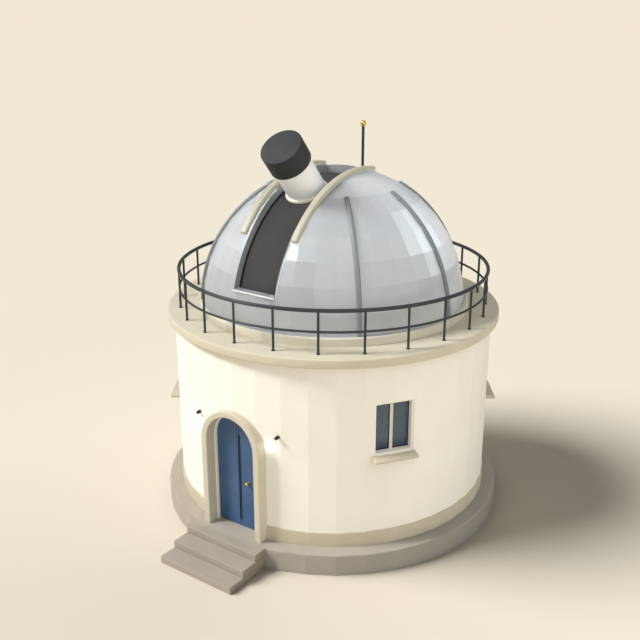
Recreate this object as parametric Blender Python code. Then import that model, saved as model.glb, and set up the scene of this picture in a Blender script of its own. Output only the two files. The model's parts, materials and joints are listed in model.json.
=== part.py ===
"""A small astronomical observatory: a round plastered building on a stone plinth, with a gallery, a
turning dome and its telescope. Metres, +Z up. The origin is on the floor under the dome's axis, and
the door faces -Y. An azimuth of 0 points at the door, and grows towards +X."""

import math

import bmesh
import bpy
from mathutils import Matrix, Vector

GAP = 0.0003  # between solids that touch
RUNNING_GAP = 0.0005  # between a turning piece and what carries it

# Round walls are built of flat facets
FACETS = 40
FACET = 360 / FACETS

# Stone base and steps
PLINTH_RADIUS = 3.935
PLINTH_HEIGHT = 0.474
PLINTH_EDGE = 0.03
STEP_FRONTS = (4.943, 4.538, 4.134)
STEP_HALF_WIDTH = 0.964
STEP_BEVEL = 0.018

# Round wall
WALL_RADIUS = 3.6
WALL_INNER_RADIUS = 3.35
WALL_TOP = 4.5127
BAND_RADIUS = 3.625
BAND_TOP = 0.80

# Doorway
OPENING_HALF_WIDTH = 0.74
ARCH_CENTRE = 2.512
HEAD_START = 2.65
SURROUND_FRONT = 3.752
SURROUND_BACK = 3.5
SURROUND_OUTER = 0.776
SURROUND_INNER = 0.627
SURROUND_DROP = 0.03  # the outer arc's centre is this much lower
SURROUND_BEVEL = 0.012
FRAME_STOP_INNER = 0.60
FRAME_POCKET_INNER = 0.66
LEAF_FACE = 3.43
LEAF_THICKNESS = 0.05
LEAF_RADIUS = 0.652
LEAF_MEETING = 0.006
LEAF_FLOOR_GAP = 0.008
HINGE_X = 0.656
HINGE_Y = LEAF_FACE - LEAF_THICKNESS - 0.0135
HINGE_RADIUS = 0.012
HINGE_HEIGHTS = (0.85, 1.6, 2.35)
HINGE_LEAF_LENGTH = 0.06
HINGE_FRAME_LENGTH = 0.035
STRIP_BOTTOM = 0.622
STRIP_TOP = 2.643
STRIP_WIDTH = 0.023
STRIP_THICKNESS = 0.008
KNOB_X = 0.231
KNOB_Z = 1.58
KNOB_RADIUS = 0.045
KNOB_CENTRE = 0.052

# Wall lamps beside the door
LAMP_AZIMUTH = 16.9
LAMP_Z = 2.906
LAMP_SIZE = 0.09
LAMP_FRONT = 3.528
LENS_RADIUS = 0.034
LENS_DROP = 0.01

# Windows
WINDOW_AZIMUTHS = {"front_left": -55, "front_right": 55, "rear_left": -125, "rear_right": 125}
WINDOW_HALF_WIDTH = 0.43
WINDOW_BOTTOM = 2.52
WINDOW_TOP = 3.672
WINDOW_FRONT = 3.551
WINDOW_DEPTH = 0.17
WINDOW_BORDER = 0.041
MULLION_HALF_WIDTH = 0.044
MULLION_FRONT = 3.44
PANE_FRONT = 3.40
SILL_HALF_WIDTH = 0.479
SILL_FRONT = 3.787
SILL_BOTTOM = 2.441
SILL_FRONT_TOP = 2.491
SILL_BACK_TOP = 2.52
BAY_HALF_ANGLE = 13.5

# Gallery
SLAB_INNER = 2.86
SLAB_OUTER = 3.762
SLAB_BOTTOM = WALL_TOP + GAP
SLAB_TOP = 4.7077
SLAB_BEVEL = 0.03
CURB_INNER = 2.90
CURB_OUTER = 3.072
CURB_TOP = 4.882
RAIL_RADIUS = 3.468
RAIL_Z = 5.5995
MID_RAIL_Z = 5.166
RAIL_TUBE = 0.04
MID_RAIL_TUBE = 0.025
POST_TUBE = 0.026
POST_STEP = 15
POST_FOOT = 0.042
POST_FOOT_HEIGHT = 0.012
RAILING_PANELS = 6

# Dome
DOME_CENTRE = 4.812
DOME_RADIUS = 2.966
SHELL_THICKNESS = 0.03
ROW = 10
RING_INNER = 2.86
RING_OUTER = 3.0
RING_BOTTOM = CURB_TOP + RUNNING_GAP
RING_THICKNESS = 0.015
UPSTAND_OUTER = 2.90
UPSTAND_TOP = 5.0
SHELL_BOTTOM = RING_BOTTOM + RING_THICKNESS + GAP
SEAM_HALF_ANGLE = 0.035
RIB_AZIMUTHS = (-135, -90, -45, 45, 90, 135, 180)
RIB_WIDTH = 0.12
RIB_PROUD = 0.045
RIB_TOP = 60

# Slit, open from above the gallery to past the top of the dome
SLIT_HALF_WIDTH = 0.5382
SLIT_SILL = 5.577
SLIT_BACK = -0.515
COAMING = 0.0147
CHEEK_INNER = 2.68
COAMING_INNER = 2.77
CHEEK_OUTER = 2.925
SHUTTER_RAIL_INNER_X = 0.558
SHUTTER_RAIL_OUTER_X = 0.738
SHUTTER_RAIL_RADIUS = 3.01
SHUTTER_RAIL_START = 38
SHUTTER_RAIL_END = 101

# Lightning rod
ROD_Y = 1.17
ROD_RADIUS = 0.033
ROD_TOP = 8.54
BALL_Z = 8.585
BALL_RADIUS = 0.068

# Telescope, on its own pier, and the windscreen that closes the slit round it
ALTITUDE = 49.4
PIVOT_Z = 6.243
TUBE_RADIUS = 0.411
TUBE_REAR = 1.3
TUBE_FRONT = 2.8
CAP_RADIUS = 0.462
CAP_REAR = 2.383
CAP_FRONT = 2.873
TUBE_WALL = 0.028
COLLAR_RADIUS = 0.44
COLLAR_START = 1.48
COLLAR_END = 1.75
COLLAR_SHOULDER = 0.05
MIRROR_CELL = 0.9
CAP_FACE = 0.02
TRUNNION_RADIUS = 0.16
TRUNNION_START = 0.36
ARM_INNER = 0.50
ARM_OUTER = 0.66
ARM_HALF_DEPTH = 0.22
FORK_BOTTOM = 4.40
FORK_BASE_TOP = 4.58
FORK_BASE_RADIUS = 0.72
PIER_RADIUS = 0.45
SCREEN_RADIUS = 2.75
SCREEN_THICKNESS = 0.035
SCREEN_START = -9
SCREEN_END = 124
SCREEN_HOLE_MIDDLE = 68.4
SCREEN_HOLE_HALF_ANGLE = 11.5
SCREEN_HOLE_HALF_WIDTH = 0.466
SCREEN_HOLE_SQUARENESS = 2.2  # 2 gives a plain ellipse
SCREEN_HALF_WIDTH = SLIT_HALF_WIDTH - COAMING - RUNNING_GAP

LONG = 9.0  # reaches past any piece it cuts


def clear_scene():
    for item in list(bpy.data.objects):
        bpy.data.objects.remove(item, do_unlink=True)


def make_material(name, colour, roughness, metallic=0.0):
    material = bpy.data.materials.new(name)
    material.use_nodes = True
    shader = material.node_tree.nodes["Principled BSDF"]
    shader.inputs["Base Color"].default_value = (*colour, 1)
    shader.inputs["Roughness"].default_value = roughness
    shader.inputs["Metallic"].default_value = metallic
    return material


clear_scene()
STONE = make_material("grey_stone", (0.36, 0.32, 0.27), 0.85)
PLASTER = make_material("cream_plaster", (0.85, 0.80, 0.66), 0.8)
TRIM = make_material("cream_trim", (0.72, 0.64, 0.48), 0.7)
DARK_METAL = make_material("dark_metal", (0.05, 0.055, 0.055), 0.45, 0.6)
BLUE_PAINT = make_material("blue_paint", (0.05, 0.11, 0.22), 0.45)
BRASS = make_material("brass", (0.75, 0.50, 0.15), 0.3, 1.0)
GLASS = make_material("window_glass", (0.08, 0.12, 0.15), 0.1)
DOME_METAL = make_material("dome_metal", (0.50, 0.53, 0.55), 0.35, 0.6)
RIB_METAL = make_material("rib_metal", (0.22, 0.24, 0.25), 0.4, 0.6)
BLACK = make_material("black_paint", (0.03, 0.03, 0.03), 0.6)
WHITE_PAINT = make_material("white_paint", (0.80, 0.80, 0.76), 0.4)
CONCRETE = make_material("concrete", (0.45, 0.44, 0.41), 0.9)


def add_object(name, mesh_builder, material):
    """A new object from a bmesh. Its normals are made to point out."""
    bmesh.ops.recalc_face_normals(mesh_builder, faces=mesh_builder.faces)
    mesh = bpy.data.meshes.new(name)
    mesh_builder.to_mesh(mesh)
    mesh_builder.free()
    mesh.materials.append(material)
    item = bpy.data.objects.new(name, mesh)
    bpy.context.scene.collection.objects.link(item)
    return item


def smooth(item, angle=30):
    item.data.shade_smooth()
    item.data.set_sharp_from_angle(angle=math.radians(angle))


def bevel(item, width, segments=2, angle=50):
    modifier = item.modifiers.new("Bevel", "BEVEL")
    modifier.width = width
    modifier.segments = segments
    modifier.limit_method = "ANGLE"
    modifier.angle_limit = math.radians(angle)


def combine(item, other, operation):
    """Cuts other from item, or joins it on, and keeps other as a hidden helper."""
    modifier = item.modifiers.new(operation.title(), "BOOLEAN")
    modifier.operation = operation
    modifier.solver = "EXACT"
    modifier.object = other
    other.hide_render = True
    other.display_type = "WIRE"


def polar(radius, azimuth):
    angle = math.radians(azimuth)
    return (radius * math.sin(angle), -radius * math.cos(angle))


def facet_point(radius, azimuth):
    """The point of the faceted ring's outline at this azimuth."""
    within = math.radians(azimuth % FACET - FACET / 2)
    apothem = radius * math.cos(math.radians(FACET / 2))
    return polar(apothem / math.cos(within), azimuth)


def azimuth_at_x(radius, x):
    """Where the faceted ring's outline meets a plane beside the door, at this x."""
    low, high = 0.0, 45.0
    for _ in range(50):
        middle = (low + high) / 2
        low, high = (middle, high) if facet_point(radius, middle)[0] < x else (low, middle)
    return low


def facet_arc(radius, start, end):
    """Points of the faceted ring's outline from one azimuth to another."""
    corners = range(math.ceil(start / FACET - 1e-9), math.floor(end / FACET + 1e-9) + 1)
    angles = [k * FACET for k in corners if start + 1e-6 < k * FACET < end - 1e-6]
    return [facet_point(radius, angle) for angle in (start, *angles, end)]


def ring_outline(outer, inner, start, end):
    return facet_arc(outer, start, end) + facet_arc(inner, start, end)[::-1]


def prism(name, outline, low, high, material, place=None):
    """An outline of (x, y) points extruded along z, then moved by the matrix place."""
    builder = bmesh.new()
    face = builder.faces.new([builder.verts.new((x, y, low)) for x, y in outline])
    top = bmesh.ops.extrude_face_region(builder, geom=[face])
    moved = [item for item in top["geom"] if isinstance(item, bmesh.types.BMVert)]
    bmesh.ops.translate(builder, vec=(0, 0, high - low), verts=moved)
    if place is not None:
        bmesh.ops.transform(builder, matrix=place, verts=builder.verts)
    return add_object(name, builder, material)


def box(name, low, high, material, place=None):
    outline = [(low[0], low[1]), (high[0], low[1]), (high[0], high[1]), (low[0], high[1])]
    return prism(name, outline, low[2], high[2], material, place)


def lathe(name, profile, steps, material, place=None, closed=True):
    """A profile of (radius, height) points turned about z. A point on the axis has radius 0."""
    builder = bmesh.new()
    rings = []
    for radius, height in profile:
        if radius == 0:
            rings.append([builder.verts.new((0, 0, height))])
            continue
        ring = []
        for k in range(steps):
            x, y = polar(radius, 360 * k / steps)
            ring.append(builder.verts.new((x, y, height)))
        rings.append(ring)
    pairs = list(zip(rings, rings[1:] + rings[:1])) if closed else list(zip(rings, rings[1:]))
    for first, second in pairs:
        for k in range(steps):
            after = (k + 1) % steps
            corners = [first[k % len(first)], first[after % len(first)]]
            corners += [second[after % len(second)], second[k % len(second)]]
            corners = list(dict.fromkeys(corners))
            if len(corners) > 2:
                builder.faces.new(corners)
    if place is not None:
        bmesh.ops.transform(builder, matrix=place, verts=builder.verts)
    return add_object(name, builder, material)


def arc_points(centre, radius, start, end, steps):
    """Points on an arc, by angle in degrees from the +x direction of its plane."""
    angles = [math.radians(start + (end - start) * k / steps) for k in range(steps + 1)]
    return [(centre[0] + radius * math.cos(a), centre[1] + radius * math.sin(a)) for a in angles]


# Stands an outline drawn in (x, z) up on the door's side: its extrusion runs along +Y
UPRIGHT = Matrix(((1, 0, 0, 0), (0, 0, 1, 0), (0, 1, 0, 0), (0, 0, 0, 1)))
# Stands an outline drawn in (forward, z) up along the slit: its extrusion runs along X
SIDEWAYS = Matrix(((0, 0, 1, 0), (-1, 0, 0, 0), (0, 1, 0, 0), (0, 0, 0, 1)))


def turned(azimuth):
    """Turns what is built facing the door to face this azimuth."""
    return Matrix.Rotation(math.radians(azimuth), 4, "Z")


def drum_cutter(name, radius):
    outline = [polar(radius, k * FACET) for k in range(FACETS)]
    return prism(name, outline, -1, LONG, PLASTER)


def build_base():
    """The plinth, whose rounded edge stays square behind the steps, and the three steps."""
    corner = (PLINTH_RADIUS - PLINTH_EDGE, PLINTH_HEIGHT - PLINTH_EDGE)
    profile = [(0, 0), (PLINTH_RADIUS, 0)]
    profile += arc_points(corner, PLINTH_EDGE, 0, 90, 3)
    plinth = lathe("plinth", [*profile, (0, PLINTH_HEIGHT)], FACETS, STONE, closed=False)
    back = azimuth_at_x(PLINTH_RADIUS, STEP_HALF_WIDTH)
    outline = ring_outline(PLINTH_RADIUS, PLINTH_RADIUS - 2 * PLINTH_EDGE, -back, back)
    square_edge = prism(
        "plinth_square_edge", outline, PLINTH_HEIGHT - 2 * PLINTH_EDGE, PLINTH_HEIGHT, STONE
    )
    combine(plinth, square_edge, "UNION")
    drum = drum_cutter("step_cutter", PLINTH_RADIUS + 2 * GAP)
    rise = PLINTH_HEIGHT / len(STEP_FRONTS)
    for k, (name, front) in enumerate(zip(("lower", "middle", "top"), STEP_FRONTS)):
        low = (-STEP_HALF_WIDTH, -front, k * rise + (GAP if k else 0))
        high = (STEP_HALF_WIDTH, -WALL_RADIUS, (k + 1) * rise)
        step = box(f"step_{name}", low, high, STONE)
        bevel(step, STEP_BEVEL, angle=80)
        combine(step, drum, "DIFFERENCE")


def build_walls():
    bottom = PLINTH_HEIGHT + GAP
    gap_angle = math.degrees(GAP / WALL_RADIUS)
    half_x = OPENING_HALF_WIDTH
    jambs = [azimuth_at_x(radius, half_x) for radius in (WALL_RADIUS, WALL_INNER_RADIUS)]
    heads = [azimuth_at_x(radius, half_x - GAP) for radius in (WALL_RADIUS, WALL_INNER_RADIUS)]
    bay_starts = {55: 55 - BAY_HALF_ANGLE, 125: 125 - BAY_HALF_ANGLE}
    front_end = bay_starts[55] - gap_angle
    outline = facet_arc(WALL_RADIUS, jambs[0], front_end)
    outline += facet_arc(WALL_INNER_RADIUS, jambs[1], front_end)[::-1]
    for name, side in (("left", -1), ("right", 1)):
        mirrored = [(side * x, y) for x, y in outline]
        prism(f"wall_front_{name}", mirrored, bottom, WALL_TOP, PLASTER)
        start, end = 55 + BAY_HALF_ANGLE + gap_angle, 125 - BAY_HALF_ANGLE - gap_angle
        limits = sorted((side * start, side * end))
        shape = ring_outline(WALL_RADIUS, WALL_INNER_RADIUS, *limits)
        prism(f"wall_side_{name}", shape, bottom, WALL_TOP, PLASTER)
    rear_start = 125 + BAY_HALF_ANGLE + gap_angle
    shape = ring_outline(WALL_RADIUS, WALL_INNER_RADIUS, rear_start, 360 - rear_start)
    prism("wall_rear", shape, bottom, WALL_TOP, PLASTER)
    outline = facet_arc(WALL_RADIUS, -heads[0], heads[0])
    outline += facet_arc(WALL_INNER_RADIUS, -heads[1], heads[1])[::-1]
    over_door = prism("wall_over_door", outline, HEAD_START, WALL_TOP, PLASTER)
    circle = arc_points((0, ARCH_CENTRE), half_x, 0, 360, 32)[:-1]
    combine(over_door, prism("arch_cutter", circle, -LONG, 0, PLASTER, UPRIGHT), "DIFFERENCE")
    for name, azimuth in WINDOW_AZIMUTHS.items():
        limits = (azimuth - BAY_HALF_ANGLE, azimuth + BAY_HALF_ANGLE)
        bay = prism(
            f"wall_bay_{name}",
            ring_outline(WALL_RADIUS, WALL_INNER_RADIUS, *limits),
            bottom,
            WALL_TOP,
            PLASTER,
        )
        low = (-WINDOW_HALF_WIDTH, -LONG, WINDOW_BOTTOM)
        high = (WINDOW_HALF_WIDTH, 0, WINDOW_TOP)
        hole = box(f"window_cutter_{name}", low, high, PLASTER, turned(azimuth))
        combine(bay, hole, "DIFFERENCE")
    edge = SURROUND_OUTER + 0.004
    starts = [azimuth_at_x(radius, edge) for radius in (BAND_RADIUS, WALL_RADIUS)]
    outline = facet_arc(BAND_RADIUS, starts[0], 360 - starts[0])
    outline += facet_arc(WALL_RADIUS + 2 * GAP, starts[1], 360 - starts[1])[::-1]
    prism("base_band", outline, bottom, BAND_TOP, TRIM)


def arch_outline(outer, inner, bottom, steps=16, drop=0):
    """The front view of a band that runs up one jamb, over a round arch and down the other."""
    outside = arc_points((0, ARCH_CENTRE - drop), outer, 0, 180, steps)
    inside = arc_points((0, ARCH_CENTRE), inner, 180, 0, steps)
    return [(outer, bottom), *outside, (-outer, bottom), (-inner, bottom), *inside, (inner, bottom)]


def build_door_surround():
    bottom = PLINTH_HEIGHT + GAP
    lining_outer = OPENING_HALF_WIDTH - 2 * GAP
    front = prism(
        "door_surround",
        arch_outline(SURROUND_OUTER, SURROUND_INNER, bottom, drop=SURROUND_DROP),
        -SURROUND_FRONT,
        -SURROUND_BACK,
        TRIM,
        UPRIGHT,
    )
    bevel(front, SURROUND_BEVEL, 1, 60)
    combine(front, drum_cutter("surround_cutter", WALL_RADIUS + 2 * GAP), "DIFFERENCE")
    lining = prism(
        "surround_lining",
        arch_outline(lining_outer, SURROUND_INNER, bottom),
        -SURROUND_FRONT + 0.03,
        -SURROUND_BACK,
        TRIM,
        UPRIGHT,
    )
    combine(front, lining, "UNION")
    frame = prism(
        "door_frame",
        arch_outline(lining_outer, FRAME_STOP_INNER, bottom),
        -SURROUND_BACK + GAP,
        -LEAF_FACE - 0.006,
        TRIM,
        UPRIGHT,
    )
    pocket = prism(
        "frame_pocket",
        arch_outline(lining_outer, FRAME_POCKET_INNER, bottom),
        -LEAF_FACE - 0.05,
        -LEAF_FACE + LEAF_THICKNESS,
        TRIM,
        UPRIGHT,
    )
    combine(frame, pocket, "UNION")
    for side in (-1, 1):
        for k, height in enumerate(HINGE_HEIGHTS):
            for end in (-1, 1):
                reach = HINGE_LEAF_LENGTH / 2 + RUNNING_GAP
                near = height + end * reach
                far = near + end * HINGE_FRAME_LENGTH
                part = hinge_part(side, min(near, far), max(near, far), side * 0.03)
                combine(frame, part, "UNION")


def hinge_part(side, low, high, reach):
    """A hinge knuckle with its plate, which reaches along x from the pin."""
    name = f"hinge_{side}_{round(low * 1000)}"
    knuckle = lathe(
        name,
        [(0, low), (HINGE_RADIUS, low), (HINGE_RADIUS, high), (0, high)],
        12,
        TRIM,
        Matrix.Translation((side * HINGE_X, -HINGE_Y, 0)),
        closed=False,
    )
    plate_x = sorted((side * HINGE_X, side * HINGE_X + reach))
    face = LEAF_FACE - LEAF_THICKNESS
    plate = box(
        name + "_plate",
        (plate_x[0], -face - 0.002, low),
        (plate_x[1], -face + 0.007, high),
        TRIM,
    )
    combine(knuckle, plate, "UNION")
    return knuckle


def build_door_leaves():
    bottom = PLINTH_HEIGHT + LEAF_FLOOR_GAP
    crown = math.degrees(math.acos(LEAF_MEETING / LEAF_RADIUS))
    for name, side in (("left", -1), ("right", 1)):
        arc = arc_points((0, ARCH_CENTRE), LEAF_RADIUS, 0, crown, 8)
        outline = [(LEAF_MEETING, bottom), (LEAF_RADIUS, bottom), *arc]
        outline = [(side * x, z) for x, z in outline]
        leaf = prism(
            f"door_leaf_{name}",
            outline,
            -LEAF_FACE,
            -LEAF_FACE + LEAF_THICKNESS,
            BLUE_PAINT,
            UPRIGHT,
        )
        for height in HINGE_HEIGHTS:
            low = height - HINGE_LEAF_LENGTH / 2
            part = hinge_part(side, low, low + HINGE_LEAF_LENGTH, -side * 0.06)
            combine(leaf, part, "UNION")
        hinge = Vector((side * HINGE_X, -HINGE_Y, 0))
        leaf.data.transform(Matrix.Translation(-hinge))
        leaf.location = hinge
        inner = LEAF_MEETING + 0.002
        strip_x = sorted((side * inner, side * (inner + STRIP_WIDTH)))
        strip = box(
            f"meeting_strip_{name}",
            (strip_x[0], -LEAF_FACE - GAP - STRIP_THICKNESS, STRIP_BOTTOM),
            (strip_x[1], -LEAF_FACE - GAP, STRIP_TOP),
            BLACK,
        )
        strip.parent = leaf
        strip.matrix_parent_inverse = Matrix.Translation(-hinge)
        if side > 0:
            knob = build_knob()
            knob.parent = leaf
            knob.matrix_parent_inverse = Matrix.Translation(-hinge)


def build_knob():
    neck, rose = 0.02, 0.034
    profile = [(0, 0), (rose, 0), (rose, 0.005), (neck, 0.007)]
    profile += arc_points((0, KNOB_CENTRE), KNOB_RADIUS, -60, 90, 8)[:-1]
    profile.append((0, KNOB_CENTRE + KNOB_RADIUS))
    place = Matrix.Translation((KNOB_X, -LEAF_FACE - GAP, KNOB_Z)) @ Matrix.Rotation(
        math.radians(90), 4, "X"
    )
    knob = lathe("door_knob", profile, 16, BRASS, place, closed=False)
    smooth(knob)
    return knob


def build_lamps():
    for name, side in (("left", -1), ("right", 1)):
        x, _ = polar(WALL_RADIUS + 0.04, side * LAMP_AZIMUTH)
        half = LAMP_SIZE / 2
        housing = box(
            f"wall_lamp_{name}",
            (x - half, -LAMP_FRONT, LAMP_Z - half),
            (x + half, -3.2, LAMP_Z + half),
            DARK_METAL,
        )
        combine(housing, drum_cutter(f"lamp_cutter_{name}", WALL_RADIUS + 2 * GAP), "DIFFERENCE")
        under = LAMP_Z - half
        profile = [(0, under - LENS_DROP), (LENS_RADIUS, under - LENS_DROP)]
        profile += [(LENS_RADIUS, under + LENS_DROP), (0, under + LENS_DROP)]
        place = Matrix.Translation((x, -LAMP_FRONT + half, 0))
        lens = lathe(f"lamp_lens_{name}", profile, 16, GLASS, place, closed=False)
        combine(housing, lens, "UNION")


def build_windows():
    for name, azimuth in WINDOW_AZIMUTHS.items():
        place = turned(azimuth)
        half = WINDOW_HALF_WIDTH - GAP
        low_z, high_z = WINDOW_BOTTOM + GAP, WINDOW_TOP - GAP
        frame = box(
            f"window_{name}",
            (-half, -WINDOW_FRONT, low_z),
            (half, -WINDOW_FRONT + WINDOW_DEPTH, high_z),
            PLASTER,
            place,
        )
        inner = half - WINDOW_BORDER
        for side in (-1, 1):
            x = sorted((side * MULLION_HALF_WIDTH, side * inner))
            recess = box(
                f"pane_cutter_{name}_{side}",
                (x[0], -WINDOW_FRONT - 0.1, low_z + WINDOW_BORDER),
                (x[1], -PANE_FRONT, high_z - WINDOW_BORDER),
                GLASS,
                place,
            )
            combine(frame, recess, "DIFFERENCE")
        front_of_mullion = box(
            f"mullion_cutter_{name}",
            (-MULLION_HALF_WIDTH - 0.01, -WINDOW_FRONT - 0.1, low_z + WINDOW_BORDER),
            (MULLION_HALF_WIDTH + 0.01, -MULLION_FRONT, high_z - WINDOW_BORDER),
            GLASS,
            place,
        )
        combine(frame, front_of_mullion, "DIFFERENCE")
        profile = [(3.3, SILL_BOTTOM), (SILL_FRONT, SILL_BOTTOM), (SILL_FRONT, SILL_FRONT_TOP)]
        profile += [(WALL_RADIUS, SILL_BACK_TOP), (3.3, SILL_BACK_TOP)]
        sill = prism(
            f"window_sill_{name}",
            profile,
            -SILL_HALF_WIDTH,
            SILL_HALF_WIDTH,
            TRIM,
            place @ SIDEWAYS,
        )
        combine(sill, drum_cutter(f"sill_cutter_{name}", WALL_RADIUS + 2 * GAP), "DIFFERENCE")
        bevel(sill, 0.01, 1, 60)


def build_gallery():
    edge = SLAB_BEVEL
    profile = [(SLAB_INNER, SLAB_BOTTOM), (SLAB_OUTER - edge, SLAB_BOTTOM)]
    profile += [(SLAB_OUTER, SLAB_BOTTOM + edge), (SLAB_OUTER, SLAB_TOP - edge)]
    profile += [(SLAB_OUTER - edge, SLAB_TOP), (SLAB_INNER, SLAB_TOP)]
    smooth(lathe("gallery_slab", profile, 80, TRIM))
    edge = 0.02
    bottom = SLAB_TOP + GAP
    profile = [(CURB_INNER, bottom), (CURB_OUTER, bottom), (CURB_OUTER, CURB_TOP - edge)]
    profile += [(CURB_OUTER - edge, CURB_TOP), (CURB_INNER, CURB_TOP)]
    smooth(lathe("dome_curb", profile, 80, TRIM))


def arc_tube(name, radius, height, tube, start, end, material, step=3.75, sides=8):
    """A round bar bent along a circle about the building's axis."""
    builder = bmesh.new()
    count = round((end - start) / step)
    rings = []
    for k in range(count + 1):
        azimuth = start + (end - start) * k / count
        ring = []
        for j in range(sides):
            angle = 2 * math.pi * (j + 0.5) / sides
            x, y = polar(radius + tube * math.cos(angle), azimuth)
            ring.append(builder.verts.new((x, y, height + tube * math.sin(angle))))
        rings.append(ring)
    for first, second in zip(rings, rings[1:]):
        for j in range(sides):
            after = (j + 1) % sides
            builder.faces.new((first[j], first[after], second[after], second[j]))
    builder.faces.new(rings[0])
    builder.faces.new(rings[-1])
    return add_object(name, builder, material)


def build_railing():
    span = 360 / RAILING_PANELS
    gap_angle = math.degrees(GAP / RAIL_RADIUS)
    for panel in range(RAILING_PANELS):
        start = panel * span - POST_STEP / 2
        limits = (start + gap_angle, start + span - gap_angle)
        name = f"railing_panel_{panel + 1}"
        railing = arc_tube(name, RAIL_RADIUS, RAIL_Z, RAIL_TUBE, *limits, DARK_METAL)
        middle = arc_tube(
            name + "_middle", RAIL_RADIUS, MID_RAIL_Z, MID_RAIL_TUBE, *limits, DARK_METAL
        )
        for k in range(round(span / POST_STEP)):
            x, y = polar(RAIL_RADIUS, panel * span + k * POST_STEP)
            foot = SLAB_TOP + GAP
            flange = foot + POST_FOOT_HEIGHT
            profile = [(0, foot), (POST_FOOT, foot), (POST_FOOT, flange), (POST_TUBE, flange)]
            profile += [(POST_TUBE, RAIL_Z), (0, RAIL_Z)]
            post = lathe(
                f"{name}_post_{k}",
                profile,
                10,
                DARK_METAL,
                Matrix.Translation((x, y, 0)),
                closed=False,
            )
            combine(middle, post, "UNION")
        combine(railing, middle, "UNION")


def dome_point(radius, azimuth, elevation):
    x, y = polar(radius * math.cos(math.radians(elevation)), azimuth)
    return (x, y, DOME_CENTRE + radius * math.sin(math.radians(elevation)))


def dome_rows(radius, bottom):
    lowest = math.degrees(math.asin((bottom - DOME_CENTRE) / radius))
    return [lowest, *range(ROW, 90, ROW)]


def dome_solid(name, radius, bottom):
    """The dome's faceted shape as one full solid."""
    profile = [(0, bottom)]
    for elevation in dome_rows(radius, bottom):
        angle = math.radians(elevation)
        profile.append((radius * math.cos(angle), DOME_CENTRE + radius * math.sin(angle)))
    profile.append((0, DOME_CENTRE + radius))
    return lathe(name, profile, FACETS, DOME_METAL, closed=False)


def dome_quarter(name, start, end):
    """A quarter of the faceted shell, before the slit is cut."""
    builder = bmesh.new()
    corners = [start + SEAM_HALF_ANGLE]
    corners += [k * FACET for k in range(round(start / FACET) + 1, round(end / FACET))]
    corners.append(end - SEAM_HALF_ANGLE)
    skins = []
    for radius in (DOME_RADIUS, DOME_RADIUS - SHELL_THICKNESS):
        rows = []
        for elevation in dome_rows(radius, SHELL_BOTTOM):
            rows.append([builder.verts.new(dome_point(radius, a, elevation)) for a in corners])
        top = builder.verts.new((0, 0, DOME_CENTRE + radius))
        for lower, upper in zip(rows, rows[1:]):
            for k in range(len(corners) - 1):
                builder.faces.new((lower[k], lower[k + 1], upper[k + 1], upper[k]))
        for k in range(len(corners) - 1):
            builder.faces.new((rows[-1][k], rows[-1][k + 1], top))
        skins.append((rows, top))
    (outer, outer_top), (inner, inner_top) = skins
    for k in range(len(corners) - 1):
        builder.faces.new((outer[0][k], outer[0][k + 1], inner[0][k + 1], inner[0][k]))
    for side in (0, -1):
        edge_outer = [row[side] for row in outer] + [outer_top]
        edge_inner = [row[side] for row in inner] + [inner_top]
        for k in range(len(edge_outer) - 1):
            builder.faces.new(
                (edge_outer[k], edge_outer[k + 1], edge_inner[k + 1], edge_inner[k])
            )
    return add_object(name, builder, DOME_METAL)


def build_dome(turning):
    opening = box(
        "slit_cutter",
        (-SLIT_HALF_WIDTH - GAP, -LONG, SLIT_SILL - COAMING - GAP),
        (SLIT_HALF_WIDTH + GAP, -SLIT_BACK + GAP, LONG + 1),
        DOME_METAL,
    )
    quarters = {
        "shell_front_right": (0, 90),
        "shell_rear_right": (90, 180),
        "shell_rear_left": (180, 270),
        "shell_front_left": (270, 360),
    }
    for name, limits in quarters.items():
        quarter = dome_quarter(name, *limits)
        combine(quarter, opening, "DIFFERENCE")
        quarter.parent = turning
    skin = dome_solid("skin_cutter", DOME_RADIUS + 2 * GAP, SHELL_BOTTOM)
    top = RING_BOTTOM + RING_THICKNESS
    profile = [(RING_INNER, RING_BOTTOM), (RING_OUTER, RING_BOTTOM), (RING_OUTER, top)]
    profile += [(UPSTAND_OUTER, top), (UPSTAND_OUTER, UPSTAND_TOP), (RING_INNER, UPSTAND_TOP)]
    ring = lathe("dome_frame", profile, 80, RIB_METAL)
    for azimuth in RIB_AZIMUTHS:
        combine(ring, build_rib(azimuth), "UNION")
    ring.parent = turning
    build_coaming().parent = turning
    for name, side in (("left", -1), ("right", 1)):
        limits = sorted((side * SHUTTER_RAIL_INNER_X, side * SHUTTER_RAIL_OUTER_X))
        centre = (0, DOME_CENTRE)
        outline = arc_points(
            centre, SHUTTER_RAIL_RADIUS, SHUTTER_RAIL_START, SHUTTER_RAIL_END, 16
        )
        outline += arc_points(centre, 2.80, SHUTTER_RAIL_END, SHUTTER_RAIL_START, 16)
        rail = prism(f"shutter_rail_{name}", outline, *limits, TRIM, SIDEWAYS)
        bevel(rail, 0.04, 2, 60)
        combine(rail, skin, "DIFFERENCE")
        rail.parent = turning
    build_rod(skin).parent = turning


def build_rib(azimuth):
    """A strip that lies on a ridge of the faceted dome, with its foot let into the ring."""
    foot = RING_BOTTOM + RING_THICKNESS / 3
    outline = []
    for radius, direction in ((DOME_RADIUS + RIB_PROUD, 1), (DOME_RADIUS + 2 * GAP, -1)):
        start = dome_rows(radius, SHELL_BOTTOM)[0]
        angles = [math.radians(elevation) for elevation in (start, *range(ROW, RIB_TOP + 1, ROW))]
        side = [(radius * math.cos(a), DOME_CENTRE + radius * math.sin(a)) for a in angles]
        outline += [(side[0][0], foot), *side][::direction]
    place = turned(azimuth) @ SIDEWAYS
    half = RIB_WIDTH / 2
    return prism(f"rib_{azimuth % 360}", outline, -half, half, RIB_METAL, place)


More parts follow.
